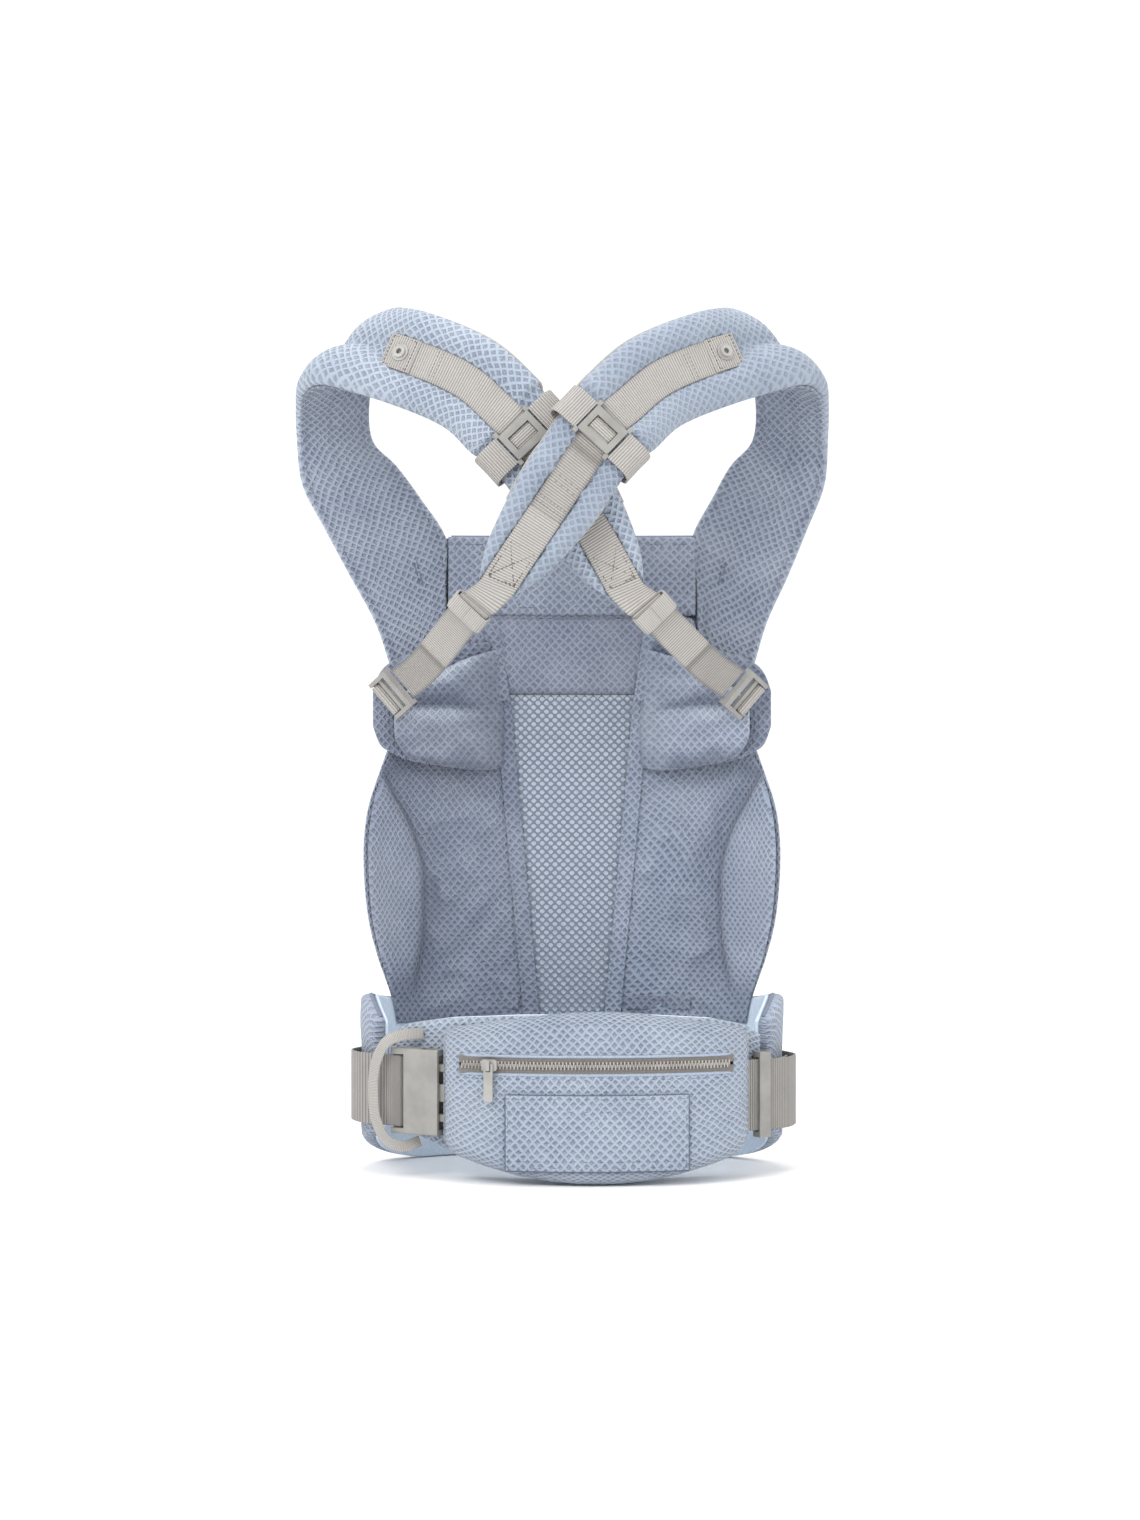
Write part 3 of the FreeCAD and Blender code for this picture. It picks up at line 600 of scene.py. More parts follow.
KNIT_SHADED_WING = dimpled_knit("dimpled_knit_shaded_wing", (0.172, 0.198, 0.265), (0.09, 0.107, 0.152))
KNIT_SHADED_WING_RIGHT = dimpled_knit("dimpled_knit_shaded_wing_right", (0.275, 0.315, 0.405), (0.15, 0.177, 0.245))
KNIT_RIM = dimpled_knit("dimpled_knit_rim", (0.30, 0.345, 0.435), (0.20, 0.235, 0.315))
LINING = plain_yarn("smooth_lining", (0.64, 0.73, 0.83), (0.55, 0.64, 0.74), 1.6)
MESH_YARN = plain_yarn("mesh_yarn", (0.185, 0.215, 0.29), (0.135, 0.16, 0.225), 1.0)
BACKING = plain_yarn("pale_backing", (0.80, 0.86, 0.92), (0.66, 0.73, 0.82), 2.2)
WEBBING = woven_webbing("grey_webbing", (0.47, 0.45, 0.425), (0.27, 0.256, 0.242))
KEEPER_WEB = woven_webbing("keeper_webbing", (0.52, 0.50, 0.475), (0.33, 0.315, 0.30), 1.4)
WAIST_WEB = woven_webbing("waist_webbing", (0.34, 0.325, 0.305), (0.185, 0.177, 0.167), 1.8)
ELASTIC = woven_webbing("knitted_elastic", (0.50, 0.48, 0.455), (0.34, 0.325, 0.31), 1.1)
PIPING = plain_yarn("grey_piping", (0.40, 0.39, 0.37), (0.30, 0.29, 0.28), 1.2)
PLASTIC = moulded_plastic("grey_plastic", (0.285, 0.277, 0.26), (0.235, 0.227, 0.213))
SNAP = moulded_plastic("snap_plastic", (0.37, 0.36, 0.345), (0.30, 0.29, 0.28), 0.3)
ZIP_TAPE = woven_webbing("zip_tape", (0.26, 0.245, 0.23), (0.17, 0.16, 0.15), 0.9)
ZIP_TEETH = moulded_plastic("zip_teeth", (0.40, 0.375, 0.35), (0.30, 0.28, 0.265), 0.35)
ZIP_PAINT = moulded_plastic("zip_paint", (0.36, 0.35, 0.33), (0.29, 0.28, 0.265), 0.32)
THREAD = plain_yarn("blue_thread", (0.145, 0.17, 0.235), (0.10, 0.12, 0.17), 0.7)
THREAD_GREY = plain_yarn("grey_thread", (0.11, 0.105, 0.10), (0.07, 0.067, 0.064), 0.7)
EDGE_CLOTH = plain_yarn("edge_cloth", (0.215, 0.245, 0.325), (0.15, 0.175, 0.24), 1.2)
POUCH_EDGE = plain_yarn("pouch_edge", (0.36, 0.42, 0.52), (0.27, 0.32, 0.41), 1.0)
SEAM_SHADOW = plain_yarn("seam_shadow", (0.12, 0.14, 0.20), (0.08, 0.095, 0.14), 0.9)
# Left and right copies of the knit, painted lighter or darker for the light that falls on each side.
STRAP_KNIT = {"left": KNIT, "right": KNIT_SHADED_RIGHT}
SIDE_KNIT = {"left": KNIT_SHADED_SIDE, "right": KNIT_SHADED_SIDE_RIGHT}
WING_KNIT = {"left": KNIT_SHADED_WING, "right": KNIT_SHADED_WING_RIGHT}


# ---------------------------------------------------------------- stitches and strips

def stitches(name, lines, body, material=None, length=2.4, gap=1.2, width=0.7, height=0.3):
    """One mesh of short thread bars. lines is a list of (points, outward) in millimetres."""
    vertices = []
    faces = []
    for points, outward in lines:
        travelled = 0.0
        for a, b in zip(points, points[1:]):
            along = add(b, a, -1)
            span = math.sqrt(sum(v * v for v in along))
            if span < 1e-6:
                continue
            along = unit(along)
            across = unit(cross(along, outward))
            place = -travelled % (length + gap)
            while place + 0.5 * length < span:
                start = add(a, along, place)
                add_bar(vertices, faces, start, along, across, outward, (length, width, height))
                place += length + gap
            travelled += span
    piece = new_object(name, vertices, faces)
    return settle(piece, material or THREAD, body)


def add_bar(vertices, faces, start, along, across, outward, size):
    length, width, height = size
    first = len(vertices)
    for share, wide, high in ((0, 0.6, -0.2), (0.5, 1.0, 1.0), (1, 0.6, -0.2)):
        base = add(start, along, length * share)
        vertices.append(add(add(base, across, width / 2 * wide), outward, -0.2))
        vertices.append(add(base, outward, height * high))
        vertices.append(add(add(base, across, -width / 2 * wide), outward, -0.2))
    for step in (0, 3):
        k = first + step
        faces.append([k, k + 3, k + 4, k + 1])
        faces.append([k + 1, k + 4, k + 5, k + 2])
        faces.append([k + 2, k + 5, k + 3, k])


def travel_along(place, count=80):
    """Length travelled at each of count + 1 even values of t, in millimetres."""
    points = [place(t)[0] for t in spread(0, 1, count + 1)]
    travelled = [0.0]
    for a, b in zip(points, points[1:]):
        travelled.append(travelled[-1] + math.dist(a, b))
    return travelled


def strip_weave(place, half):
    travelled = travel_along(place)
    rows = [(v,) for v in travelled]

    def weave(t, x):
        return (2 * x - 1) * half, catmull(rows, t * (len(rows) - 1))[0]
    return weave


def strip_surface(place, half):
    """Surface of a strip. place(t) gives its middle, direction across and outward."""
    def surface(t, x):
        point, across, outward = place(t)
        return add(point, across, (2 * x - 1) * half), outward
    return surface


def ribbon(name, place, length, half, high):
    """Flat strip of webbing, lying on its surface."""
    surface = strip_surface(place, half)
    weave = strip_weave(place, half)
    return cushion(name, surface, (length, 2 * half), lambda t, x: (0, high), 0.6, 3.0, weave)


def path_length(points):
    return sum(math.dist(a, b) for a, b in zip(points, points[1:]))


def smooth_path(points, count):
    last = len(points) - 1
    return [catmull(points, s) for s in spread(0, last, count)]


def plan_strip(name, points, z0, z1, thickness=WEB, step=2.5):
    """Upright webbing that follows a path in plan, between two heights."""
    path = smooth_path([tuple(p[:2]) + (0.0,) for p in points], 8 * len(points))
    length = path_length(path)
    last = len(path) - 1

    def surface(t, x):
        s = t * last
        point = catmull(path, s)
        ahead = catmull(path, min(s + 0.2, last))
        behind = catmull(path, max(s - 0.2, 0))
        along = unit(add(ahead, behind, -1))
        outward = (along[1], -along[0], 0.0)
        return (point[0], point[1], z0 + (z1 - z0) * x), outward

    def depth(t, x):
        return -thickness / 2, thickness / 2
    return cushion(name, surface, (length, z1 - z0), depth, rim=0.6, step=step)


def round_loop(corners, radius, steps=4):
    """Closed or open path of (across, outward) corners with rounded bends."""
    points = [corners[0]]
    for before, corner, after in zip(corners, corners[1:], corners[2:]):
        to_before = (before[0] - corner[0], before[1] - corner[1])
        to_after = (after[0] - corner[0], after[1] - corner[1])
        a = min(radius, 0.45 * math.hypot(*to_before)) / math.hypot(*to_before)
        b = min(radius, 0.45 * math.hypot(*to_after)) / math.hypot(*to_after)
        first = (corner[0] + a * to_before[0], corner[1] + a * to_before[1])
        final = (corner[0] + b * to_after[0], corner[1] + b * to_after[1])
        for k in range(steps + 1):
            f = k / steps
            points.append(tuple(
                (1 - f) ** 2 * p + 2 * f * (1 - f) * c + f * f * q
                for p, c, q in zip(first, corner, final)
            ))
    points.append(corners[-1])
    return points


def wrap(name, frame_axes, corners, y0, y1, thickness, radius=2.0, sag=0.0):
    """Band bent round something: a path across and outward of a frame, y0 to y1 along it."""
    origin, along, outward = frame_axes
    across = unit(cross(along, outward))
    path = [(w, n, 0.0) for w, n in round_loop(corners, radius)]
    distance = [0.0]
    for a, b in zip(path, path[1:]):
        distance.append(distance[-1] + math.dist(a, b))
    length = distance[-1]

    def at(t):
        target = t * length
        k = 0
        while k < len(path) - 2 and distance[k + 1] < target:
            k += 1
        f = (target - distance[k]) / max(distance[k + 1] - distance[k], 1e-6)
        return add(path[k], add(path[k + 1], path[k], -1), f)

    def surface(t, x):
        here = at(t)
        way = unit(add(at(min(t + 0.01, 1)), at(max(t - 0.01, 0)), -1))
        normal = (way[1], -way[0])
        point = add(add(origin, across, here[0]), outward, here[1])
        point = add(point, along, y0 + (y1 - y0) * x)
        direction = add(scale(across, normal[0]), outward, normal[1])
        return add(point, direction, sag * math.sin(math.pi * x)), direction

    def depth(t, x):
        return -thickness / 2, thickness / 2

    def weave(t, x):
        return (y1 - y0) * x, length * t
    return cushion(name, surface, (length, y1 - y0), depth, rim=0.6, step=2.5, weave=weave)


# ---------------------------------------------------------------- shoulder straps

def strap_edges(side, s):
    """The strap's edge at the neck and its edge at the arm, at station s."""
    neck_x, neck_y, neck_z, arm_x, arm_y, arm_z = catmull(STRAP_STATIONS, s)
    shift = STRAP_SHIFT * catmull([(w,) for w in SHIFT_WEIGHTS], s)[0]
    if side == RIGHT:
        lift = catmull([(v,) for v in FRONT_STRAP_LIFT], s)[0]
        shift += catmull([(v,) for v in FRONT_STRAP_ASIDE], s)[0]
        neck_y += lift
        arm_y += lift
    neck = (side * neck_x + shift, neck_y, neck_z)
    arm = (side * arm_x + shift, arm_y, arm_z)
    return neck, arm


@functools.lru_cache(maxsize=None)
def strap_frame(side, s):
    """Middle, direction along, direction outward and half width at station s."""
    neck, arm = strap_edges(side, s)
    before = middle(*strap_edges(side, max(s - 0.05, 0)))
    after = middle(*strap_edges(side, min(s + 0.05, LAST_STATION)))
    across = unit(add(arm, neck, -1))
    along = unit(add(after, before, -1))
    outward = unit(scale(cross(across, along), -side))
    along = unit(cross(outward, scale(across, -side)))
    return middle(neck, arm), along, outward, 0.5 * math.dist(neck, arm)


def strap_point(side, s, w, n):
    """Point w across and n outward of the strap's middle. w is positive on the side `across`."""
    origin, along, outward, _ = strap_frame(side, s)
    across = unit(cross(along, outward))
    return add(add(origin, across, w), outward, n)


@functools.lru_cache(maxsize=None)
def strap_travel(side, s):
    """Length of the strap's middle from its start to station s."""
    count = max(int(s * 4), 1)
    points = [strap_frame(side, v)[0] for v in spread(0, s, count + 1)]
    return path_length(points)


def neck_sign(side):
    """Sign of w at the strap's neck edge."""
    _, along, outward, _ = strap_frame(side, TAB_STATION)
    across = unit(cross(along, outward))
    neck, arm = strap_edges(side, TAB_STATION)
    return 1 if sum(a * b for a, b in zip(add(neck, arm, -1), across)) > 0 else -1


def band_pinch(side, s):
    """1 wherever the band may stand on the pad as its slider travels."""
    before, after = (0.52, 0.34) if side == LEFT else (0.34, 0.52)
    rise = ease(s, SLIDER_STATION - before - 0.18, SLIDER_STATION - before)
    return rise * (1 - ease(s, SLIDER_STATION + after, SLIDER_STATION + after + 0.18))


def strap_half(side, s):
    """Half width, drawn in under the band and to a round nose at the pad's end."""
    half = strap_frame(side, s)[3]
    half -= band_pinch(side, s) * (1.0 + max(half - strap_frame(side, SLIDER_STATION)[3], 0))
    nose = clamp((s - 14.55) / 0.45)
    return half * (1 - 0.34 * nose ** 2.2)


def pad_height(side, s, w, half):
    """Top of the pad: two lobes beside the webbing, drawn down under the band."""
    near = ease(s, 6.6, 8.4)
    valley = 1.5 + 9.0 * ease(s, 9.2, 10.2)
    room = max(half - valley - 1.5, 4.0)
    lobe = dome(clamp((abs(w) - valley) / room)) if abs(w) > valley else 0.0
    band = 1 - 0.9 * band_pinch(side, s)
    ending = 1 - 0.55 * ease(s, 14.0, 14.9)
    flat = 6.6 - 1.4 * ease(s, 14.2, 15.0)
    if abs(w) < 13.5 and s > RAIL_START - 0.4:
        return flat + 0.2
    crown = 2.2 * (1 - near) * math.cos(math.pi / 2 * clamp(abs(w) / half))
    return flat + 5.4 * near * band * ending * lobe + crown - 1.5 * near * (1 - lobe)


def strap_weave(side):
    def weave(t, x):
        s = t * LAST_STATION
        return (2 * x - 1) * strap_frame(side, s)[3], strap_travel(side, round(s, 3))
    return weave


def make_pad(name, side):
    """Padded outer side of the strap."""
    def surface(t, x):
        s = round(t * LAST_STATION, 4)
        w = (2 * x - 1) * strap_half(side, s)
        return strap_point(side, s, w, 0), strap_frame(side, s)[2]

    def thickness(t, x):
        s = round(t * LAST_STATION, 4)
        half = strap_half(side, s)
        w = (2 * x - 1) * half
        p = strap_point(side, s, w, 0)
        loose = 0.0 if abs(w) < 14.5 and s > 9.5 else 1.0 - band_pinch(side, s)
        folds = 0.7 * rumple(p, 32, side) + 0.35 * rumple(p, 13, 4.0)
        return -4.9, pad_height(side, s, w, half) + loose * folds
    pad = cushion(f"strap_pad_{name}", surface, STRAP_SIZE, thickness, 6.5, 4.4, strap_weave(side))
    seams = held_points(surface, STRAP_SIZE, -4.9, 6.6)
    for s in spread(RAIL_START - 0.4, 14.9, 120):
        seams += [strap_point(side, s, w, 6.8) for w in (-11, -5.5, 0, 5.5, 11)]
        if band_pinch(side, s) > 0.3:
            seams += [strap_point(side, s, w, 8.0) for w in spread(-40, 40, 14)]
    puff(pad, seams, 5.0, 2.2)
    settle(pad, STRAP_KNIT[name], "carrier", (f"strap_cover_{name}", f"strap_foam_{name}"))


def make_lining(name, side):
    """Inner side of the strap, padded where it lies on the shoulder."""
    sign = neck_sign(side)

    def surface(t, x):
        s = round(t * LAST_STATION, 4)
        w = (2 * x - 1) * (strap_half(side, s) - 1.2)
        return strap_point(side, s, w, 0), strap_frame(side, s)[2]

    def thickness(t, x):
        s = round(t * LAST_STATION, 4)
        half = strap_half(side, s)
        w = (2 * x - 1) * half
        p = strap_point(side, s, w, 0)
        far = 1 - ease(s, 8.3, 9.4)
        seam = bump(abs(abs(w) - (half - 6.0)), 0, 1.6)
        middle_seam = far * ease(s, 3.2, 3.9) * bump(w * sign, -0.12 * half, 1.5)
        puff_out = 1.6 * math.cos(math.pi / 2 * clamp(abs(w) / half)) ** 0.6
        fold = 1.3 * rumple(p, 44, side) + 0.6 * rumple(p, 17, 7.0)
        low = -6.3 - far * (puff_out + fold) + 1.7 * far * max(seam, middle_seam)
        return min(low + 0.8 * band_pinch(side, s), -5.4), -4.4
    weave = strap_weave(side)
    lining = cushion(f"strap_inner_{name}", surface, STRAP_LINING_SIZE, thickness, 2.4, 4.4, weave)
    settle(lining, KNIT_SHADED_INNER, "carrier", (f"strap_lining_{name}",))


def make_lining_stitches(name, side):
    """Rows of stitches along the far part's two edges."""
    lines = []
    for sign in (-1, 1):
        points = []
        for s in spread(0.4, 8.0, 110):
            half = strap_half(side, s)
            points.append(strap_point(side, s, sign * (half - 5.0), -6.6))
        outward = strap_frame(side, 3.0)[2]
        lines.append((points, scale(outward, -1)))
    stitches(f"strap_inner_stitches_{name}", lines, "carrier", THREAD, 2.2, 1.0, 0.6, 0.3)


def make_piping(name, side):
    """Cord along the pad's edge at the neck."""
    sign = neck_sign(side)
    points = []
    for s in spread(9.5, 14.2, 60):
        half = strap_half(side, s)
        points.append(strap_point(side, s, sign * (half - 0.2), -5.6))
    cord = tube(f"strap_piping_{name}", points, 1.5)
    settle(cord, PIPING, "carrier", ())


def rail_place(side, first, last, base):
    """Middle, direction across and outward of a strip that lies `base` above the strap's middle."""
    def place(t):
        s = round(first + (last - first) * t, 4)
        origin, along, outward, _ = strap_frame(side, s)
        return add(origin, outward, base), unit(cross(along, outward)), outward
    return place


def web_edge(x):
    """Shade along the two edges of a strip of webbing."""
    return 0.4 * (bump(x, 0.0, 0.05) + bump(x, 1.0, 0.05))


def make_rail(name, side):
    """Webbing sewn along the pad, which the slider travels on."""
    start, end = 10.1, 14.22
    length = strap_travel(side, end) - strap_travel(side, start)
    place = rail_place(side, start, end, 7.3)
    surface = strip_surface(place, STRAP_WEB_HALF)

    def depth(t, x):
        s = start + (end - start) * t
        return 0.0, 0.5 + 1.0 * ease(s, 10.34, 10.42) * (1 - ease(s, 14.1, 14.14))

    # Painted shadow on both sides of the slider's band, painted shade over the rail's lower part and along
    # its edges.
    def shade(t, x):
        s = start + (end - start) * t
        under = 0.55 * bump(s, SLIDER_STATION - 0.36, 0.07) + 0.5 * bump(s, SLIDER_STATION + 0.36, 0.06)
        return clamp(under + 0.3 * ease(s, 12.6, 13.4) + web_edge(x))
    weave = strip_weave(place, STRAP_WEB_HALF)
    rail = cushion(f"rail_{name}", surface, (length, 2 * STRAP_WEB_HALF), depth, 0.6, 2.2, weave, shade)
    settle(rail, WEBBING, "carrier", (f"rail_webbing_{name}",))


def make_snap_tab(name, side):
    """Tab at the rail's upper end, which carries the ring snap, and its stitches."""
    origin, along, outward, _ = strap_frame(side, TAB_STATION)
    across = unit(cross(along, outward))
    base = add(origin, outward, 7.9)

    def tab_place(t):
        curl = -0.9 * (2 * t - 1) ** 2
        return add(add(base, along, -13 + 25 * t), outward, curl), across, outward
    tab = ribbon(f"snap_flap_{name}", tab_place, 25, STRAP_WEB_HALF, WEB)
    settle(tab, WEBBING, "carrier", (f"snap_tab_{name}",))
    lines = []
    for y in (-10.4, 9.2):
        row = [add(add(add(base, along, y), across, w), outward, 1.2) for w in (-10.6, 10.6)]
        lines.append((row, outward))
    for w in (-10.6, 10.6):
        row = [add(add(add(base, along, y), across, w), outward, 1.35) for y in (-10.4, 9.2)]
        lines.append((row, outward))
    stitches(f"snap_flap_stitches_{name}", lines, "carrier", THREAD_GREY, 1.7, 1.2)


def rail_line(side, s, w0, w1):
    """Line of stitches across the rail, from w0 to w1."""
    return [strap_point(side, s, w, 8.85) for w in (w0, w1)], strap_frame(side, s)[2]


def make_rail_stitches(name, side):
    """Bars of the pockets, and rows across the rail's lower and upper end."""
    lines = []
    for s in (13.72, 13.80):
        for w in (-8, -3, 2, 7):
            lines.append(rail_line(side, s, w - 1.4, w + 1.8))
    edge = STRAP_WEB_HALF - 2.0
    for s in (14.0, 14.07):
        lines.append(rail_line(side, s, -edge, edge))
    stitches(f"rail_stitches_{name}", lines, "carrier", THREAD_GREY, 1.8, 1.0)
    dots = [rail_line(side, s, -10.5, 10.5) for s in (10.52, 10.58)]
    stitches(f"rail_top_stitches_{name}", dots, "carrier", THREAD_GREY, 1.6, 1.3)


def side_web_frame(side, s):
    """Middle, direction along and outward of the side webbing past the end of the pad."""
    rows = []
    for m, back_y, front_y, z, weight, across in SIDE_WEB_STATIONS:
        y = front_y if side == RIGHT else back_y
        rows.append((side * m + STRAP_SHIFT * weight, y, z, side * across[0], 0, across[2]))
    row = catmull(rows, s)
    before = catmull(rows, max(s - 0.05, 0))
    after = catmull(rows, min(s + 0.05, len(rows) - 1))
    along = unit(add(after[:3], before[:3], -1))
    outward = unit(scale(cross(row[3:], along), -side))
    along = unit(cross(outward, scale(unit(row[3:]), -side)))
    return row[:3], along, outward


def make_side_web(name, side):
    """Side webbing from under the rail's end, over the pad's nose, down to the ladder-lock."""
    frames = []
    for s in spread(14.15, LAST_STATION, 6):
        origin, along, outward, _ = strap_frame(side, s)
        frames.append(add(origin, outward, 7.6) + unit(cross(along, outward)) + outward)
    for s in spread(0.15, 2.9, 12):
        origin, along, outward = side_web_frame(side, s)
        frames.append(tuple(origin) + unit(cross(along, outward)) + outward)
    length = path_length([f[:3] for f in frames])

    def place(t):
        row = catmull(frames, t * (len(frames) - 1))
        return row[:3], unit(row[3:6]), unit(row[6:9])
    surface = strip_surface(place, STRAP_WEB_HALF)

    def depth(t, x):
        doubled = 1.3 * ease(t, 0.43, 0.435) * (1 - ease(t, 0.745, 0.75))
        return 0.0, WEB + 0.25 * math.sin(18 * t) + doubled

    # Painted shadow at both ends of the doubled tail and round the keeper, painted shade over the single
    # layer past the tail and along the edges.
    def shade(t, x):
        ends = bump(t, 0.433, 0.007) + bump(t, 0.752, 0.008)
        under_keeper = 0.5 * bump(t, KEEPER_SHARE, 0.075)
        return clamp(0.9 * ends + under_keeper + 0.45 * ease(t, 0.75, 0.76) + web_edge(x))
    weave = strip_weave(place, STRAP_WEB_HALF)
    web = cushion(f"side_web_{name}", surface, (length, 2 * STRAP_WEB_HALF), depth, 0.6, 1.8, weave, shade)
    settle(web, WEBBING, "carrier", (f"side_webbing_{name}",))
    lines = []
    for t in (0.09, 0.13, 0.27):
        point, over, out = place(t)
        row = [add(add(point, over, w), out, 1.55) for w in (-10.5, 10.5)]
        lines.append((row, out))
    stitches(f"side_web_stitches_{name}", lines, "carrier", THREAD_GREY, 1.8, 1.1)
    make_box_stitch(name, place)


def make_box_stitch(name, place):
    """Crossed box that joins the side webbing to the pad's end."""
    corners = [(0.135, -9.5), (0.135, 9.5), (0.265, 9.5), (0.265, -9.5)]
    pairs = [(0, 1), (1, 2), (2, 3), (3, 0), (0, 2), (1, 3)]
    lines = []
    for i, j in pairs:
        points = []
        for f in spread(0, 1, 7):
            t = corners[i][0] + (corners[j][0] - corners[i][0]) * f
            w = corners[i][1] + (corners[j][1] - corners[i][1]) * f
            point, over, out = place(t)
            points.append(add(add(point, over, w), out, 1.6))
        lines.append((points, out))
    stitches(f"box_stitches_{name}", lines, "carrier", THREAD_GREY, 2.0, 0.9)


def make_keeper(name, side):
    """Loop that holds the doubled side webbing together."""
    a = STRAP_WEB_HALF + 1.7
    corners = [(0, 4.0), (a, 4.0), (a, -1.85), (-a, -1.85), (-a, 4.0), (0, 3.95)]
    axes = side_web_frame(side, 1.0)
    keeper = wrap(f"keeper_loop_{name}", axes, corners, -8, 8, 1.7, radius=1.8)
    settle(keeper, KEEPER_WEB, f"keeper_{name}", (f"side_keeper_{name}",))


def make_lock_strap(name, side):
    """Loop of webbing round the ladder-lock's far bar."""
    origin, along, outward = side_web_frame(side, 2.95)
    bar = add(origin, along, 21.0)
    r = 3.4
    across = unit(cross(along, outward))
    corners = [(0, r), (r, r), (r, -r), (-r, -r), (-r, r), (0, r)]
    loop = wrap(f"lock_loop_{name}", (bar, across, outward), corners, -12.2, 12.2, 1.3, radius=3.0)
    settle(loop, WEBBING, "carrier", (f"lock_strap_{name}",))


def make_cross_band(name, side):
    """Band from one side of the rail slider, round the pad, to the other side."""
    axes = strap_frame(side, SLIDER_STATION)
    h = axes[3] + 3.6
    corners = [
        (15.2, 10.6), (17, 10.6), (h - 5, 10.2), (h, 5.0), (h, -7.5), (h - 4, -10.9),
        (-h + 4, -10.9), (-h, -7.5), (-h, 5.0), (-h + 5, 10.2), (-17, 10.6), (-15.2, 10.6),
    ]
    band = wrap(f"strap_band_{name}", axes[:3], corners, -12, 12, 1.5, radius=4.0, sag=0.3)
    settle(band, WEBBING, f"slider_{name}", (f"cross_band_{name}",))


def make_slider_web(name, side):
    """Rise of the rail's webbing where it passes over the slider's bar."""
    origin, along, outward, _ = strap_frame(side, SLIDER_STATION)
    across = unit(cross(along, outward))

    def place(t):
        return add(add(origin, along, -5.2 + 10.4 * t), outward, 9.2), across, outward

    def thickness(t, x):
        return 0.0, 0.9 + 1.8 * dome(t)
    web = cushion(f"slider_web_{name}", strip_surface(place, 9.2), (10.4, 18.4), thickness, 0.6, 1.6)
    settle(web, WEBBING, f"slider_{name}", ())


def make_straps():
    for name, side in SIDES.items():
        make_slider_web(name, side)
        make_pad(name, side)
        make_lining(name, side)
        make_lining_stitches(name, side)
        make_piping(name, side)
        make_rail(name, side)
        make_snap_tab(name, side)
        make_rail_stitches(name, side)
        make_side_web(name, side)
        make_keeper(name, side)
        make_lock_strap(name, side)
        make_cross_band(name, side)


# ---------------------------------------------------------------- child's panel

# Rows up the panel: height, half width.
SIDE_OUTER = [
    (100, 127), (118, 130), (128, 133), (150, 141), (172, 146), (196, 148.5), (220, 149.5), (240, 149),
    (262, 146), (284, 139), (304, 130), (326, 120), (337, 110),
]
SIDE_CREASE = [
    (100, 112), (118, 117), (140, 114), (165, 110), (215, 110), (245, 119), (271, 134), (290, 141),
    (337, 141),
]
OUTER_PANEL_EDGE = [
    (100, 126), (118, 129), (128, 132), (150, 140), (172, 145), (196, 147.5), (220, 148.5), (240, 148),
    (262, 145), (284, 138), (306, 131), (338, 121), (355, 113), (366, 105), (374, 99), (384, 92), (396, 88),
]


def along_rows(rows, v):
    """Second value of the rows at a first value v, straight between rows."""
    for (a, p), (b, q) in zip(rows, rows[1:]):
        if v <= b:
            return p + (q - p) * clamp((v - a) / (b - a))
    return rows[-1][1]


def smooth_rows(rows, v):
    """Second value of the rows at a first value v, smooth between rows."""
    return 0.25 * sum(along_rows(rows, v + step) for step in (-9, -3, 3, 9))


def side_outer(z):
    """Half width of the panel at a height."""
    return smooth_rows(SIDE_OUTER, z)


def bow_y(x):
    return PANEL_MIDDLE_Y + PANEL_DEPTH * math.sqrt(max(1 - (x / PANEL_HALF_BOW) ** 2, 0.0))


def bow_arc(x):
    """Length along the panel's bow from its middle to x."""
    return PANEL_HALF_BOW * math.asin(clamp(x / PANEL_HALF_BOW, -1, 1)) * 0.8 + 0.2 * x


def bow_outward(x):
    """Direction from the panel towards the child's side, which faces the camera."""
    slope = -PANEL_DEPTH * x / (PANEL_HALF_BOW ** 2 * math.sqrt(max(1 - (x / PANEL_HALF_BOW) ** 2, 0.05)))
    return unit((slope, -1.0, 0.0))


def window_half(z):
    share = (z - PANEL_BOTTOM) / (WINDOW_TOP - PANEL_BOTTOM)
    return WINDOW_HALF_BOTTOM + (WINDOW_HALF_TOP - WINDOW_HALF_BOTTOM) * share


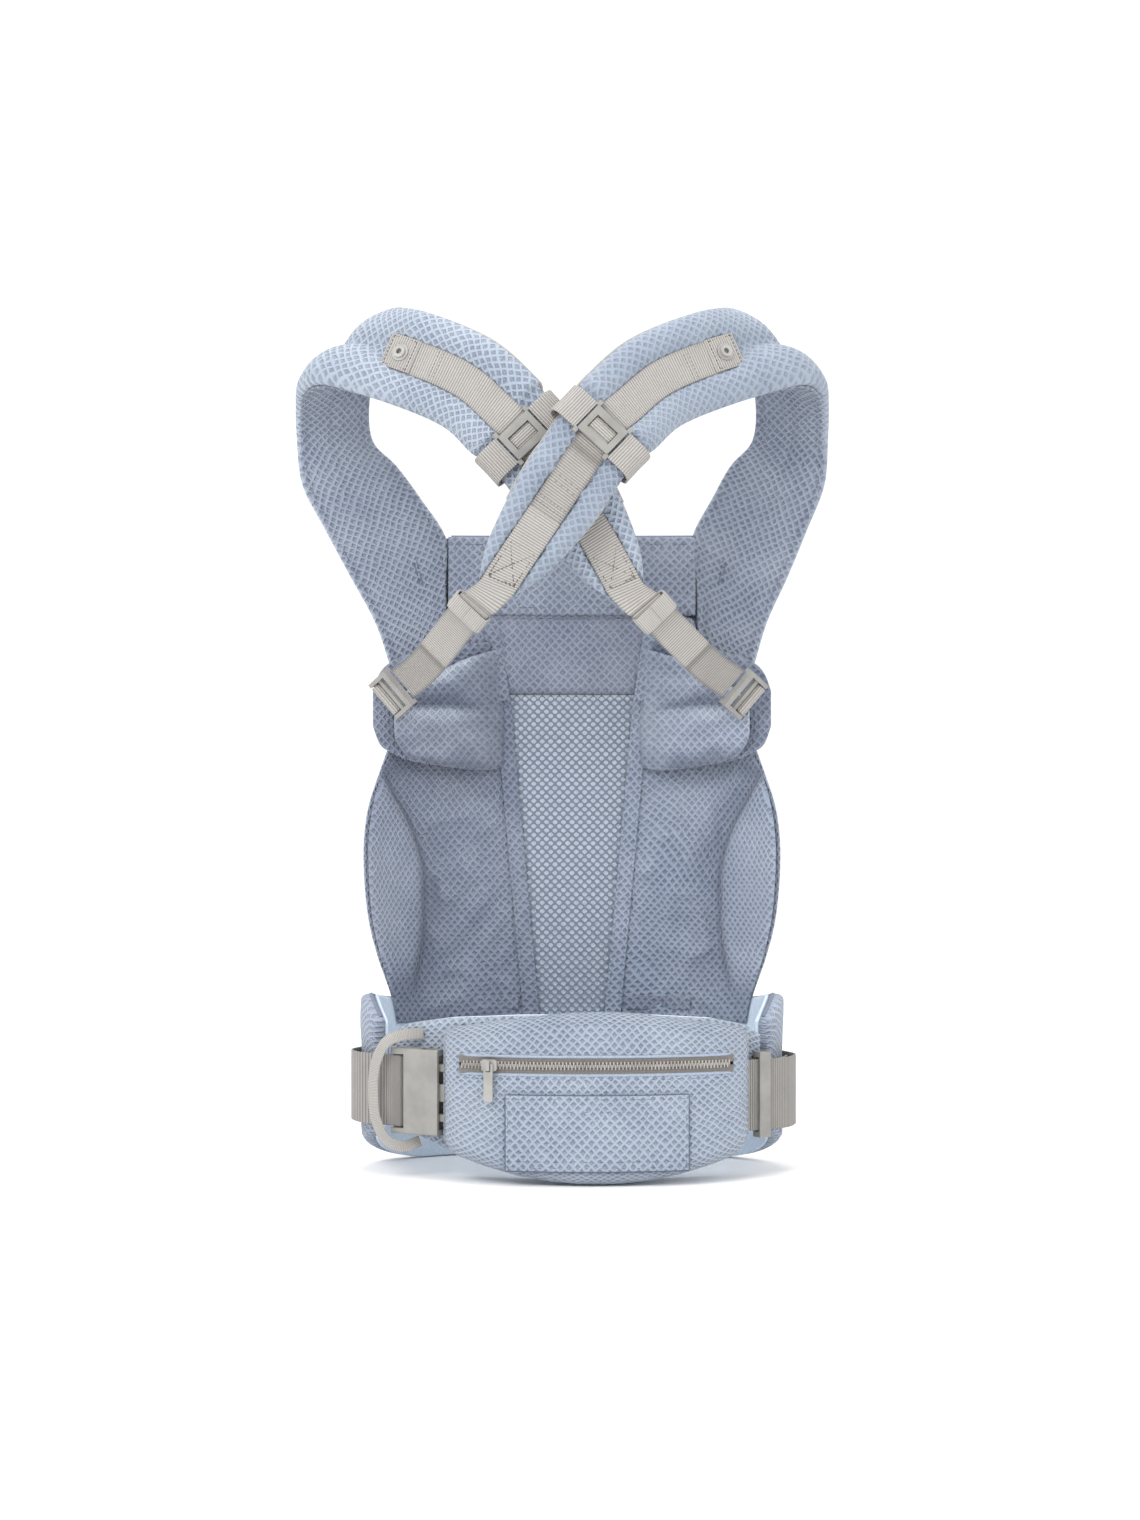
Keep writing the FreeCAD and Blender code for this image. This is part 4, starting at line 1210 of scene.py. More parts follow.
def make_window():
    """Net with a hole in every cell, over the pale back of the spacer mesh."""
    across = 6.3
    along = 3.15
    vertices = []
    faces = []
    found = {}

    def corner(x, z):
        key = (round(x, 2), round(z, 2))
        if key not in found:
            found[key] = len(vertices)
            vertices.append((x, bow_y(x) - 1.1, z))
        return found[key]
    rows = int((WINDOW_TOP - PANEL_BOTTOM) / along)
    for r in range(rows):
        z = PANEL_BOTTOM + along * (r + 0.5)
        shift = 0.5 * across * (r % 2)
        for c in range(-9, 10):
            x = c * across + shift
            if abs(x) > window_half(z) + 3.5:
                continue
            rim = []
            hole = []
            for k in range(8):
                a = math.pi / 4 * k
                wide = across / 2
                cos = sign_of(math.cos(a))
                sin = sign_of(math.sin(a))
                diamond = 1.0 if k % 2 == 0 else 0.5
                rim.append(corner(x + wide * diamond * cos, z + along * diamond * sin))
                size = 0.64 if k % 2 == 0 else 0.42
                size *= 1 + 0.10 * rumple((x, z, k), 2.0)
                hole.append(len(vertices))
                vertices.append((x + wide * size * cos, bow_y(x) - 1.1, z + 0.88 * along * size * sin))
            for k in range(8):
                j = (k + 1) % 8
                faces.append([rim[k], rim[j], hole[j], hole[k]])
    net = new_object("window_net", vertices, faces)
    face_outward(net)
    thick = net.modifiers.new("Thickness", "SOLIDIFY")
    thick.thickness = 0.5 * MM
    thick.offset = 0
    settle(net, MESH_YARN, "carrier", ("airy_mesh_panel",))

    def surface(t, x):
        z = PANEL_BOTTOM + (WINDOW_TOP - PANEL_BOTTOM) * t
        px = (2 * x - 1) * (window_half(z) + 3)
        return (px, bow_y(px), z), bow_outward(px)
    back = cushion("window_backing", surface, (241, 74), lambda t, x: (-1.4, -0.6), 0.6, 6.0)
    settle(back, BACKING, "carrier", ())


def sign_of(v):
    return 0.0 if abs(v) < 1e-6 else math.copysign(1.0, v)


def edge_stitches(name, surface, height, steps):
    """A row of stitches along each edge of a strip, at a height above its surface."""
    lines = []
    for share in (0.16, 0.84):
        lines.append(([add(*surface(t, share), height) for t in steps], FRONT))
    stitches(name, lines, "carrier", THREAD)


def make_bindings():
    """Stitched bands along the two sides of the window."""
    for name, side in SIDES.items():
        def surface(t, x, side=side):
            z = PANEL_BOTTOM + (WINDOW_TOP - PANEL_BOTTOM) * t
            px = side * (window_half(z) + BINDING_WIDTH * x)
            return (px, bow_y(px), z), bow_outward(px)
        strip = cushion(f"window_edge_{name}", surface, (241, 12), lambda t, x: (2.0, 3.7), 0.8, 3.0)
        settle(strip, SIDE_KNIT[name], "carrier", (f"window_binding_{name}",))
        edge_stitches(f"window_edge_stitches_{name}", surface, 3.75, spread(0.01, 0.99, 40))


def tucked_y(x, z):
    """Depth of the panel, which comes forward at its lower corners to pass inside the belt."""
    y = bow_y(x)
    inside = BELT_MIDDLE_Y + BELT_B * math.sqrt(max(1 - (x / BELT_A) ** 2, 0.0)) - 12.0
    share = 1 - ease(z, 122, 158)
    return y + (min(inside, y) - y) * share


def side_folds(side, x, z):
    """Soft folds of the panel inside its rims."""
    broad = rumple((side * x, 0, z), 46, 3.0 * side) * 4.5
    slant = (x * 0.75 + z * 0.65, (z - x) * 0.35, 0)
    ridge = (1 - abs(rumple(slant, 19, 5.0 * side))) ** 3 * 3.2 - 1.6
    return broad + ridge


def side_depth(side, x, z):
    """How far the side panel stands proud of its bow: a rolled rim outside a crease, soft folds inside."""
    outer = side_outer(z)
    inner = window_half(z) + 12.0
    crease = smooth_rows(SIDE_CREASE, z)
    crease = min(crease, outer)
    p = (side * x, 0, z)
    tall = ease(z, 108, 150) * (1 - ease(z, 262, 292))
    rolled = clamp((x - crease) / max(outer - crease, 6.0))
    rim = ease(x - crease, -1.0, 4.0) * tall * (0.45 + 0.55 * math.cos(math.pi / 2 * rolled) ** 0.7)
    hollow = bump(x - crease, -5.0, 9.0) * tall
    share = clamp((x - inner) / max(crease - inner, 10.0))
    small = rumple(p, 12, 9.0) * 0.5
    calm = ease(share, 0.0, 0.15) * (1 - 0.9 * ease(share, 0.8, 1.0))
    proud = 9.0 * rim - 4.0 * hollow + calm * side_folds(side, x, z) + small * (1 - 0.5 * rim)
    return proud if proud > 0 else SIDE_SINK * math.tanh(proud / SIDE_SINK)


def side_shade(side, x, z):
    """Painted shade along the crease, in the hollow, under the wings and at the outer edge, painted shading
    on the folds' slopes, and painted highlight on the rolled rim.
    """
    crease = smooth_rows(SIDE_CREASE, z)
    tall = ease(z, 104, 150) * (1 - ease(z, 266, 296))
    rim = ease(x - crease, 0.0, 8.0) * tall
    line = bump(x - crease, -0.5, 2.0) * tall
    hollow = 0.45 * bump(x - crease, -12.0, 16.0) * tall
    lean = 2.0
    slope = side_folds(side, x, z) - side_folds(side, x - lean, z + lean)
    inside = 1 - ease(x - crease, -8.0, -2.0) * tall
    under_wing = 0.6 * ease(z, 270, 290)
    edge = 0.12 * bump(x, side_outer(z), 3.0)
    return clamp(0.95 * line + hollow - 0.22 * rim - 0.28 * slope * inside + under_wing + edge, -1, 1)


def side_place(t, x):
    """Distance from the middle and height, from the window to the panel's edge."""
    z = PANEL_BOTTOM + SIDE_HEIGHT * t
    inner = window_half(z) + 2.0
    return inner + (side_outer(z) - inner) * x, z


def make_side_panels():
    for name, side in SIDES.items():
        def surface(t, x, side=side):
            px, z = side_place(t, x)
            return (side * px, tucked_y(px, z), z), bow_outward(side * px)

        def thickness(t, x, side=side):
            px, z = side_place(t, x)
            proud = side_depth(side, px, z)
            return -1.3 + min(proud, 0), 1.3 + proud

        def weave(t, x, side=side):
            point, _ = surface(t, x)
            bend = 5.0 * rumple(point, 60, 2.0 * side)
            return bow_arc(point[0]) + bend, point[2] + bend

        def shade(t, x, side=side):
            return side_shade(side, *side_place(t, x))
        panel = cushion(f"side_cloth_{name}", surface, (SIDE_HEIGHT, 96), thickness, 3.4, 2.6, weave, shade)
        settle(panel, SIDE_KNIT[name], "carrier", (f"side_panel_{name}",))


def make_outer_panel():
    def surface(t, x):
        z = 100 + 296 * t
        px = (2 * x - 1) * smooth_rows(OUTER_PANEL_EDGE, z)
        return (px, tucked_y(px, z), z), bow_outward(px)

    def thickness(t, x):
        z = 100 + 296 * t
        px = (2 * x - 1) * smooth_rows(OUTER_PANEL_EDGE, z)
        fold = 1.6 * rumple((px, 40, z), 48, 2.0) + 0.5 * rumple((px, 40, z), 15, 5.0)
        edge = clamp((1 - abs(2 * x - 1)) / 0.12)
        return -SIDE_SINK - 3.6 - edge * (1.2 + fold), -SIDE_SINK - 1.8

    def weave(t, x):
        point, _ = surface(t, x)
        return bow_arc(point[0]), point[2]
    panel = cushion("outer_cloth", surface, (296, 280), thickness, 1.4, 5.0, weave)
    settle(panel, KNIT_RIM, "carrier", ("outer_panel",))


def make_upper_back():
    """Padded square over the window's top, under the head support."""
    def surface(t, x):
        z = WINDOW_TOP + 0.2 + 56 * t
        px = UPPER_BACK_HALF * (2 * x - 1)
        return (px, bow_y(px), z), FRONT

    def thickness(t, x):
        z = WINDOW_TOP + 56 * t
        px = UPPER_BACK_HALF * (2 * x - 1)
        puffed = 1.8 * dome(t) + 1.2 * rumple((px, 0, z), 40, 1.0)
        return -1.2, 5.0 + puffed

    def weave(t, x):
        return bow_arc(UPPER_BACK_HALF * (2 * x - 1)), 56 * t

    # Painted shade in the seams' grooves, along the lower edge and under the head support.
    def shade(t, x):
        px = UPPER_BACK_HALF * (2 * x - 1)
        seam = bump(abs(px), 46.0 + 7.0 * t, 1.6) + bump(abs(px), 59.0 + 7.0 * t, 1.6)
        return clamp(0.5 * seam + 0.45 * (1 - ease(t, 0.0, 0.14)) + 0.4 * ease(t, 0.88, 1.0), 0, 1)
    pad = cushion("upper_back_pad", surface, UPPER_BACK_SIZE, thickness, 3.0, 3.0, weave, shade)
    puff(pad, held_points(surface, UPPER_BACK_SIZE, -1.2, 5.0), 4.5, 1.8)
    settle(pad, KNIT_SHADED_UPPER, "carrier", ("upper_back_cover", "upper_back_foam"))


def make_bottom_tapes():
    """Two tapes at the panel's lower edge; both stand for the one CAD node."""
    for name, side in SIDES.items():
        def surface(t, x, side=side):
            px = side * (40 + 48 * t)
            return (px, bow_y(px), 108 + 10 * x), bow_outward(px)
        tape = cushion(f"bottom_tape_{name}", surface, (52, 10), lambda t, x: (2.1, 3.5), 0.7, 3.0)
        nodes = ("bottom_tapes",) if side < 0 else ()
        settle(tape, KNIT_SHADED_UPPER, "carrier", nodes)


# Rows along each leaf of a wing: distance from the middle, depth, thickness, lower and upper edge.
WING_NEAR = [
    (50, 58.5, 2.4, 288, 374), (56, 53, 4, 286, 374), (66, 43, 7, 285, 371), (80, 38, 8, 286, 366),
    (94, 33, 9, 288, 359), (108, 28, 9, 291, 351), (119, 24, 8, 295, 344), (125, 22.4, 6, 301, 337),
    (129, 21.4, 4, 309, 329),
]
WING_FAR = [
    (60, 50, 3, 290, 380), (90, 43.6, 3.4, 288, 376), (118, 33, 4, 292, 370), (132, 27.5, 5, 298, 364),
    (140, 25, 5, 304, 356), (145, 24, 4, 317, 343),
]
WING_FOLD_Z = 331.0


def wing_fold(t):
    """Height of the fold across the wing, which sinks towards its free end and its root."""
    return WING_FOLD_Z + 5.0 * math.sin(math.pi * clamp(t * 1.1)) - 5.0 * (1 - t)


def wing_swell(z, z0, z1, fold, t):
    """Two puffed lobes, above and below the wing's fold, which fades out at the root."""
    deep = 0.35 + 0.65 * ease(t, 0.15, 0.5)
    if z < fold:
        lobe = 8.0 * dome(clamp((z - z0) / (fold - z0)))
    else:
        lobe = 4.2 * dome(clamp((z - fold) / max(z1 - fold, 1.0)))
    whole = 4.0 * dome(clamp((z - z0) / max(z1 - z0, 1.0)))
    return lobe * deep + whole * (1 - deep)


def row_at(rows, share):
    """Row at a share of the way along, smooth between rows."""
    return catmull(rows, share * (len(rows) - 1))


def make_wings():
    """Two leaves on each side: the near one folded and puffed, the far one flat behind it."""
    for name, side in SIDES.items():
        for leaf, rows in (("near", WING_NEAR), ("far", WING_FAR)):
            def surface(t, x, side=side, rows=rows):
                px, y, _, z0, z1 = row_at(rows, t)
                return (side * px, y, z0 + (z1 - z0) * x), FRONT

            def thickness(t, x, side=side, rows=rows, leaf=leaf):
                px, y, thick, z0, z1 = row_at(rows, t)
                z = z0 + (z1 - z0) * x
                p = (side * px, y, z)
                slant = (px * 0.8 + z * 0.5, z - px * 0.45, 0)
                folds = 3.0 * rumple(slant, 21, side * 2.0) + 0.8 * rumple(p, 11, 6.0)
                if leaf == "far":
                    return -thick / 2, thick / 2 + 0.5 + 0.35 * folds
                free = 0.35 + 0.65 * ease(t, 0.05, 0.4)
                return -thick / 2, thick / 2 + free * (wing_swell(z, z0, z1, wing_fold(t), t) + folds)

            def weave(t, x, side=side, rows=rows):
                px, _, _, z0, z1 = row_at(rows, t)
                return side * px * 1.05, z0 + (z1 - z0) * x

            # Painted shade along the near leaf's fold and at the root, painted shading on the folds'
            # slopes, an even painted shade over the far leaf, and painted highlight towards the near leaf's
            # free end.
            def shade(t, x, rows=rows, leaf=leaf, thickness=thickness):
                _, _, _, z0, z1 = row_at(rows, t)
                z = z0 + (z1 - z0) * x
                slope = thickness(t, min(x + 0.04, 1))[1] - thickness(t, max(x - 0.04, 0))[1]
                line = bump(z, wing_fold(t) - 0.8, 3.0) * ease(t, 0.1, 0.35) if leaf == "near" else 0.2
                root = 0.5 * (1 - ease(t, 0.0, 0.12))
                free_end = 0.2 * ease(t, 0.9, 0.96) if leaf == "near" else 0.0
                return clamp(0.95 * line + 0.26 * slope + root - free_end, -1, 1)
            wing = cushion(f"leg_wing_{leaf}_{name}", surface, WING_SIZE, thickness, 4.2, 2.6, weave, shade)
            seams = held_points(surface, WING_SIZE, -4.0, 4.0)
            if leaf == "near":
                for t in spread(0.25, 0.95, 24):
                    px, y, thick, _, _ = row_at(rows, t)
                    seams.append((side * px, y - thick / 2, wing_fold(t)))
            puff(wing, seams, 4.5, 2.6)
            knit = WING_KNIT[name] if leaf == "near" else KNIT_SHADED_SIDE
            settle(wing, knit, "carrier", (f"wing_{leaf}_{name}",))


def head_y(px):
    """Depth of the head support, which bends a little towards the camera at its ends."""
    return 64.5 - 3.0 * (px / HEAD_HALF) ** 2


def head_frame(t, x):
    px = (2 * x - 1) * (HEAD_HALF + 4.7)
    y = head_y(px)
    return (px, y, BODY_TOP + 1.5 + (HEAD_TOP - BODY_TOP - 1.5) * t), FRONT


def head_back_frame(t, x):
    """The cloth behind is a little wider, and its ends pass behind the straps."""
    px = (2 * x - 1) * (HEAD_HALF + 11.0)
    y = head_y(px) + 9.5 * ease(abs(px), 80, 90)
    return (px, y, BODY_TOP + 1.5 + (HEAD_TOP - BODY_TOP - 1.5) * t), FRONT


def make_head_support():
    """Fold-up head support: a padded front and a thin cloth behind it."""
    def weave(t, x):
        return (2 * x - 1) * HEAD_HALF, 58 * t

    def front(t, x):
        soft = dome(t, 0.5) + 0.9 * rumple((x * 174, 0, t * 58), 36, 4.0)
        return -2.4, 4.3 + soft

    def back(t, x):
        return -4.5 - 0.6 * dome(t, 0.5), -2.5
    pad = cushion("head_pad", head_frame, HEAD_SIZE, front, 3.0, 4.0, weave)
    puff(pad, held_points(head_frame, HEAD_SIZE, -2.4, 4.3), 4.0, 2.0)
    settle(pad, KNIT_SHADED_INNER, "head_support", ("head_support_cover", "head_support_foam"))
    cloth = cushion("head_back_cloth", head_back_frame, (58, 196), back, 1.0, 4.0, weave)
    settle(cloth, KNIT_RIM, "head_support", ("head_support_back",))
    top = [add(head_frame(0.985, x)[0], FRONT, 0.4) for x in spread(0.012, 0.988, 30)]
    edge = tube("head_edge_binding", top, 2.0)
    settle(edge, EDGE_CLOTH, "head_support", ())
    lines = []
    for t in (0.10, 0.90):
        lines.append(([add(head_frame(t, x)[0], FRONT, 5.1) for x in spread(0.03, 0.97, 40)], FRONT))
    stitches("head_pad_stitches", lines, "head_support", THREAD)


def make_fold_cloth():
    """Cloth under the head support's fold."""
    def surface(t, x):
        px = (2 * x - 1) * (HEAD_HALF + 11.0)
        z = 386.0 + 30.0 * t
        y = head_y(px)
        behind = 9.5 * ease(abs(px), 80, 90)
        return (px, bow_y(px) + (y - bow_y(px)) * ease(z, 392, 404) + behind, z), FRONT
    cloth = cushion("fold_cloth", surface, (30, 196), lambda t, x: (-1.8, 1.4), 0.8, 3.0)
    cloth.data.materials.append(KNIT_SHADED_UPPER)
    start = in_metres((0, 66, 395.0))
    end = in_metres((0, 66, 403.0))
    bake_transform(cloth)


def make_upper_edges():
    """Upper ends of the window's edging, over the padded square."""
    for name, side in SIDES.items():
        def surface(t, x, side=side):
            z = 336.0 + 52.0 * t
            px = side * (45.6 + 7.5 * t + BINDING_WIDTH * x)
            return (px, bow_y(px) - 6.4, z), bow_outward(px)
        strip = cushion(f"upper_edge_{name}", surface, (52, 12), lambda t, x: (0.0, 1.9), 0.8, 3.0)
        settle(strip, SIDE_KNIT[name], "carrier", ())
        edge_stitches(f"upper_edge_stitches_{name}", surface, 1.95, spread(0.02, 0.98, 12))


def make_buttonholes():
    """Upright rows of close stitches on the inner side of each shoulder strap."""
    for name, side in SIDES.items():
        s = 2.55
        half = strap_half(side, s)
        sign = neck_sign(side)
        lines = []
        for w in (-1.1, 1.1):
            row = sign * (0.30 * half) + w
            points = [strap_point(side, s + d, row, -8.6) for d in spread(-0.26, 0.26, 8)]
            lines.append((points, scale(strap_frame(side, s)[2], -1)))
        stitches(f"buttonhole_{name}", lines, "carrier", THREAD, 1.2, 0.3, 0.9, 0.5)


def make_panel():
    make_fold_cloth()
    make_upper_edges()
    make_buttonholes()
    make_window()
    make_bindings()
    make_side_panels()
    make_outer_panel()
    make_upper_back()
    make_bottom_tapes()
    make_wings()
    make_head_support()


# ---------------------------------------------------------------- waist belt

def belt_point(angle, outward):
    """Point in plan at an angle from the far middle, at a distance outward of the belt's middle."""
    a = math.radians(angle)
    direction = unit((math.sin(a) / BELT_A, math.cos(a) / BELT_B, 0))
    base = (BELT_A * math.sin(a), BELT_MIDDLE_Y + BELT_B * math.cos(a), 0)
    return add(base, direction, outward)


def belt_heights(angle):
    """Lower and upper edge of the belt."""
    share = min(abs(angle) / 90.0, 1.0)
    z0 = 20.0 * max((share - 0.55) / 0.45, 0.0) ** 1.6
    z1 = 112.0 + 12.0 * share ** 2
    tip = max(abs(angle) - 92.0, 0.0) / (BELT_WING - 92.0)
    return z0 + 16.0 * tip ** 2, z1 - 18.0 * tip ** 2


def belt_surface(t, x):
    angle = BELT_WING * (2 * t - 1)
    z0, z1 = belt_heights(angle)
    near = belt_point(angle, 0)
    outward = unit(add(belt_point(angle, 1), near, -1))
    return near[:2] + (z0 + (z1 - z0) * x,), outward


def belt_weave(t, x):
    return 118 * x, 490 * t


def make_belt():
    """Padded belt round the child's side, its smooth lining and the cord along its upper edge."""
    def outer(t, x):
        point, _ = belt_surface(t, x)
        bulge = 1.6 * dome(x)
        webbing = bump(x, 0.5, 0.30) * ease(abs(2 * t - 1), 0.5, 0.6)
        folds = 1.2 * rumple(point, 40, 2.0) + 0.6 * rumple(point, 14, 3.0)
        return -4.2, 5.4 + (bulge + folds) * (1 - 0.95 * webbing)

    def inner(t, x):
        point, _ = belt_surface(t, x)
        folds = 1.0 * rumple(point, 46, 5.0) + 0.5 * rumple(point, 16, 8.0)
        return -6.2 - dome(x) + folds, -4.0
    cover = cushion("belt_pad", belt_surface, BELT_SIZE, outer, 4.0, 5.0, belt_weave)
    seams = held_points(belt_surface, BELT_SIZE, -4.2, 5.4)
    for t in spread(0, 1, 80):
        if abs(2 * t - 1) > 0.45:
            for x in spread(0.2, 0.8, 10):
                seams.append(add(*belt_surface(t, x), 5.6))
    puff(cover, seams, 5.0, 2.2)
    settle(cover, KNIT_RIM, "carrier", ("belt_cover", "belt_foam"))
    lining = cushion("belt_inner", belt_surface, (490, 112), inner, 2.0, 5.0, belt_weave)
    settle(lining, LINING, "carrier", ("belt_lining",))
    points = [add(*belt_surface(t, 0.993), -1.0) for t in spread(0.01, 0.99, 120)]
    settle(tube("belt_piping", points, 1.6), EDGE_CLOTH, "carrier", ())


# ---------------------------------------------------------------- lumbar pad and pouch

# Rows along the arc: angle, lower and upper edge of the pad.
PAD_ROWS = [
    (-35.7, 40, 98), (-32.0, 30, 106), (-24.0, 18, 111), (-12.0, 9, 114), (0.0, 6, 115), (12.0, 9, 114),
    (22.0, 18, 111), (28.0, 30, 106), (31.1, 40, 98),
]
# Rows along the arc: angle, radius of the pouch's front, its lower and upper edge.
POUCH_ROWS = [
    (-24.6, 261, 23, 105), (-22.6, 266, 18, 108), (-18.0, 268, 12, 111), (-12.0, 268, 5, 115),
    (-7.0, 268, 1.2, 118.4), (-3.0, 268, 0, 119.7), (0.0, 268, 0, 120), (3.0, 268, 0, 119.7),
    (7.0, 268, 1.2, 118.4), (12.0, 268, 5, 115), (18.0, 268, 12, 111), (22.6, 266, 18, 108),
    (24.6, 261, 23, 105),
]


def arc_point(angle, radius, z):
    """Point on the arc that the pad, the pouch and the zip follow in plan."""
    a = math.radians(angle)
    return (ARC_X + radius * math.sin(a), ARC_Y - radius * math.cos(a), z)


def arc_outward(angle):
    a = math.radians(angle)
    return (math.sin(a), -math.cos(a), 0.0)


def arc_across(angle):
    a = math.radians(angle)
    return (math.cos(a), math.sin(a), 0)


def arc_row(rows, angle):
    """Row at an angle, straight between rows; the first value of a row is its angle."""
    for a, b in zip(rows, rows[1:]):
        if angle <= b[0]:
            f = clamp((angle - a[0]) / (b[0] - a[0]))
            return tuple(p + (q - p) * f for p, q in zip(a, b))
    return rows[-1]


def make_lumbar_pad():
    """Pad at the wearer's back, behind the pouch, and its lining."""
    first, last = PAD_ROWS[0][0], PAD_ROWS[-1][0]

    def layer(radius):
        def surface(t, x):
            angle = first + (last - first) * t
            _, z0, z1 = arc_row(PAD_ROWS, angle)
            return arc_point(angle, radius, z0 + (z1 - z0) * x), arc_outward(angle)
        return surface

    def depth(t, x):
        angle = first + (last - first) * t
        p = arc_point(angle, 240, 110 * x)
        return -5.5, 6.2 + 0.5 * rumple(p, 30, 4.0)

    def weave(t, x):
        return math.radians((last - first) * t) * 240, 108 * x
    pad = cushion("lumbar_pad", layer(236.2), (280, 100), depth, 5.0, 5.0, weave)
    settle(pad, KNIT, "carrier", ("lumbar_cover", "lumbar_foam"))
    lining = cushion("lumbar_inner", layer(229.0), (280, 98), lambda t, x: (-1.4, 1.2), 1.2, 6.0, weave)
    settle(lining, LINING, "carrier", ("lumbar_lining",))


def pouch_point(angle, v):
    """Point and outward direction of the pouch's skin. v runs from the back of the lower wall, 0,
    up the front, to the back of the upper wall, 1."""
    _, front, z0, z1 = arc_row(POUCH_ROWS, angle - POUCH_ANGLE)
    end = clamp((POUCH_HALF_ANGLE - abs(angle - POUCH_ANGLE)) / 3.6)
    front -= 5.0 * (1 - end) ** 2
    wall = front - (PAD_FRONT + 1.0)
    side = arc_outward(angle)
    bulge = dome(clamp((v - 0.1) / 0.8), 0.5)
    edge, up = (z0, -1) if v < 0.5 else (z1, 1)
    if v < 0.14 or v > 0.86:
        f = v / 0.14 if v < 0.5 else (1 - v) / 0.14
        radius = PAD_FRONT + 1.0 + (wall - 7) * f
        z = edge - up * 3.5 * (1 - f) ** 1.5
        normal = (0.2 * side[0], 0.2 * side[1], 1.0 * up)
    elif v < 0.26 or v > 0.74:
        a = math.pi / 2 * (v - 0.14 if v < 0.5 else 0.86 - v) / 0.12
        radius = front - 7 + 7 * math.sin(a)
        z = edge - up * 9 * (1 - math.cos(a))
        normal = (side[0] * math.sin(a), side[1] * math.sin(a), up * math.cos(a))
    else:
        f = (v - 0.26) / 0.48
        radius = front
        z = z0 + 9 + (z1 - z0 - 18) * f
        normal = side
    p = arc_point(angle, radius, z)
    near_zip = bump(z, ZIP_Z, 13.0) * ease(v, 0.2, 0.3)
    behind_patch = PATCH_FROM - 1 < angle < PATCH_TO + 1 and z < PATCH_TOP + 4 and v > 0.2
    near_patch = 0.8 if behind_patch else 0.0
    folds = 1.1 * rumple(p, 38, 3.0) + 0.45 * rumple(p, 13, 1.0)
    lift = bulge * (1 - max(near_zip, near_patch)) * (1.1 + folds) * end
    return add(p, unit(normal), lift - 1.2), unit(normal)


def pouch_v(angle, z):
    """v on the front of the pouch at a height."""
    _, _, z0, z1 = arc_row(POUCH_ROWS, angle - POUCH_ANGLE)
    return 0.26 + 0.48 * (z - z0 - 9) / (z1 - z0 - 18)


def make_pouch():
    """Pouch skin with a slot for the zip."""
    columns = sorted(set(
        spread(POUCH_ANGLE - POUCH_HALF_ANGLE, POUCH_ANGLE + POUCH_HALF_ANGLE, 57)
        + [ZIP_FROM, ZIP_FROM + 0.35, ZIP_TO - 0.35, ZIP_TO]
    ))
    low = ZIP_Z - ZIP_HEIGHT / 2 + 0.4
    high = ZIP_Z + ZIP_HEIGHT / 2 - 0.6
    vertices = []
    cloth = []
    for angle in columns:
        v_low = pouch_v(angle, low)
        v_high = pouch_v(angle, high)
        rows = spread(0, 0.26, 9)[:-1] + spread(0.26, v_low, 22)
        rows += spread(v_high, 0.74, 8) + spread(0.74, 1, 9)[1:]
        for v in rows:
            point, normal = pouch_point(angle, v)
            vertices.append(point)
            cloth.append((math.radians(angle) * 268 * MM, (v - 0.26) * 0.215))
    count = len(rows)
    slot_row = 8 + 22 - 1
    faces = []
    uvs = []
    for i in range(len(columns) - 1):
        inside = ZIP_FROM <= columns[i] and columns[i + 1] <= ZIP_TO
        for j in range(count - 1):
            if j == slot_row and inside:
                continue
            face = [i * count + j, (i + 1) * count + j, (i + 1) * count + j + 1, i * count + j + 1]
            faces.append(face)
            uvs += [cloth[k] for k in face]
    pouch = new_object("pouch_skin", vertices, faces, uvs)
    thick = pouch.modifiers.new("Thickness", "SOLIDIFY")
    thick.thickness = 1.6 * MM
    thick.offset = -1
    settle(pouch, KNIT_POUCH, "carrier", ("pouch",))
    make_pouch_ends(columns)
    make_zip_lips(low, high)


def make_pouch_ends(columns):
    """Gussets that close the pouch at its two ends."""
    for name, angle, inward in (("left", columns[0], 1), ("right", columns[-1], -1)):
        def surface(t, x, angle=angle, inward=inward):
            outer, _ = pouch_point(angle, 0.02 + 0.96 * t)
            a = arc_point(angle, PAD_FRONT + 0.6, outer[2])
            return add(a, add(outer, a, -1), x), scale(arc_across(angle), -inward)
        end = cushion(f"pouch_end_{name}", surface, (95, 18), lambda t, x: (-0.8, 0.8), 0.6, 3.0)
        settle(end, KNIT_POUCH, "carrier", ())


def make_zip_lips(low, high):
    """Folded edges of the pouch along the zip."""
    for name, z, up in (("lower", low, -1), ("upper", high, 1)):
        angles = spread(ZIP_FROM, ZIP_TO, 60)
        points = [add(*pouch_point(angle, pouch_v(angle, z)), -0.5) for angle in angles]
        settle(tube(f"zip_lip_{name}", points, 1.1), POUCH_EDGE, "carrier", ())
        angles = spread(ZIP_FROM - 0.3, ZIP_TO + 0.3, 90)
        row = [add(*pouch_point(angle, pouch_v(angle, z + up * 3.0)), 0.15) for angle in angles]
        stitches(f"zip_stitches_{name}", [(row, FRONT)], "carrier", THREAD)


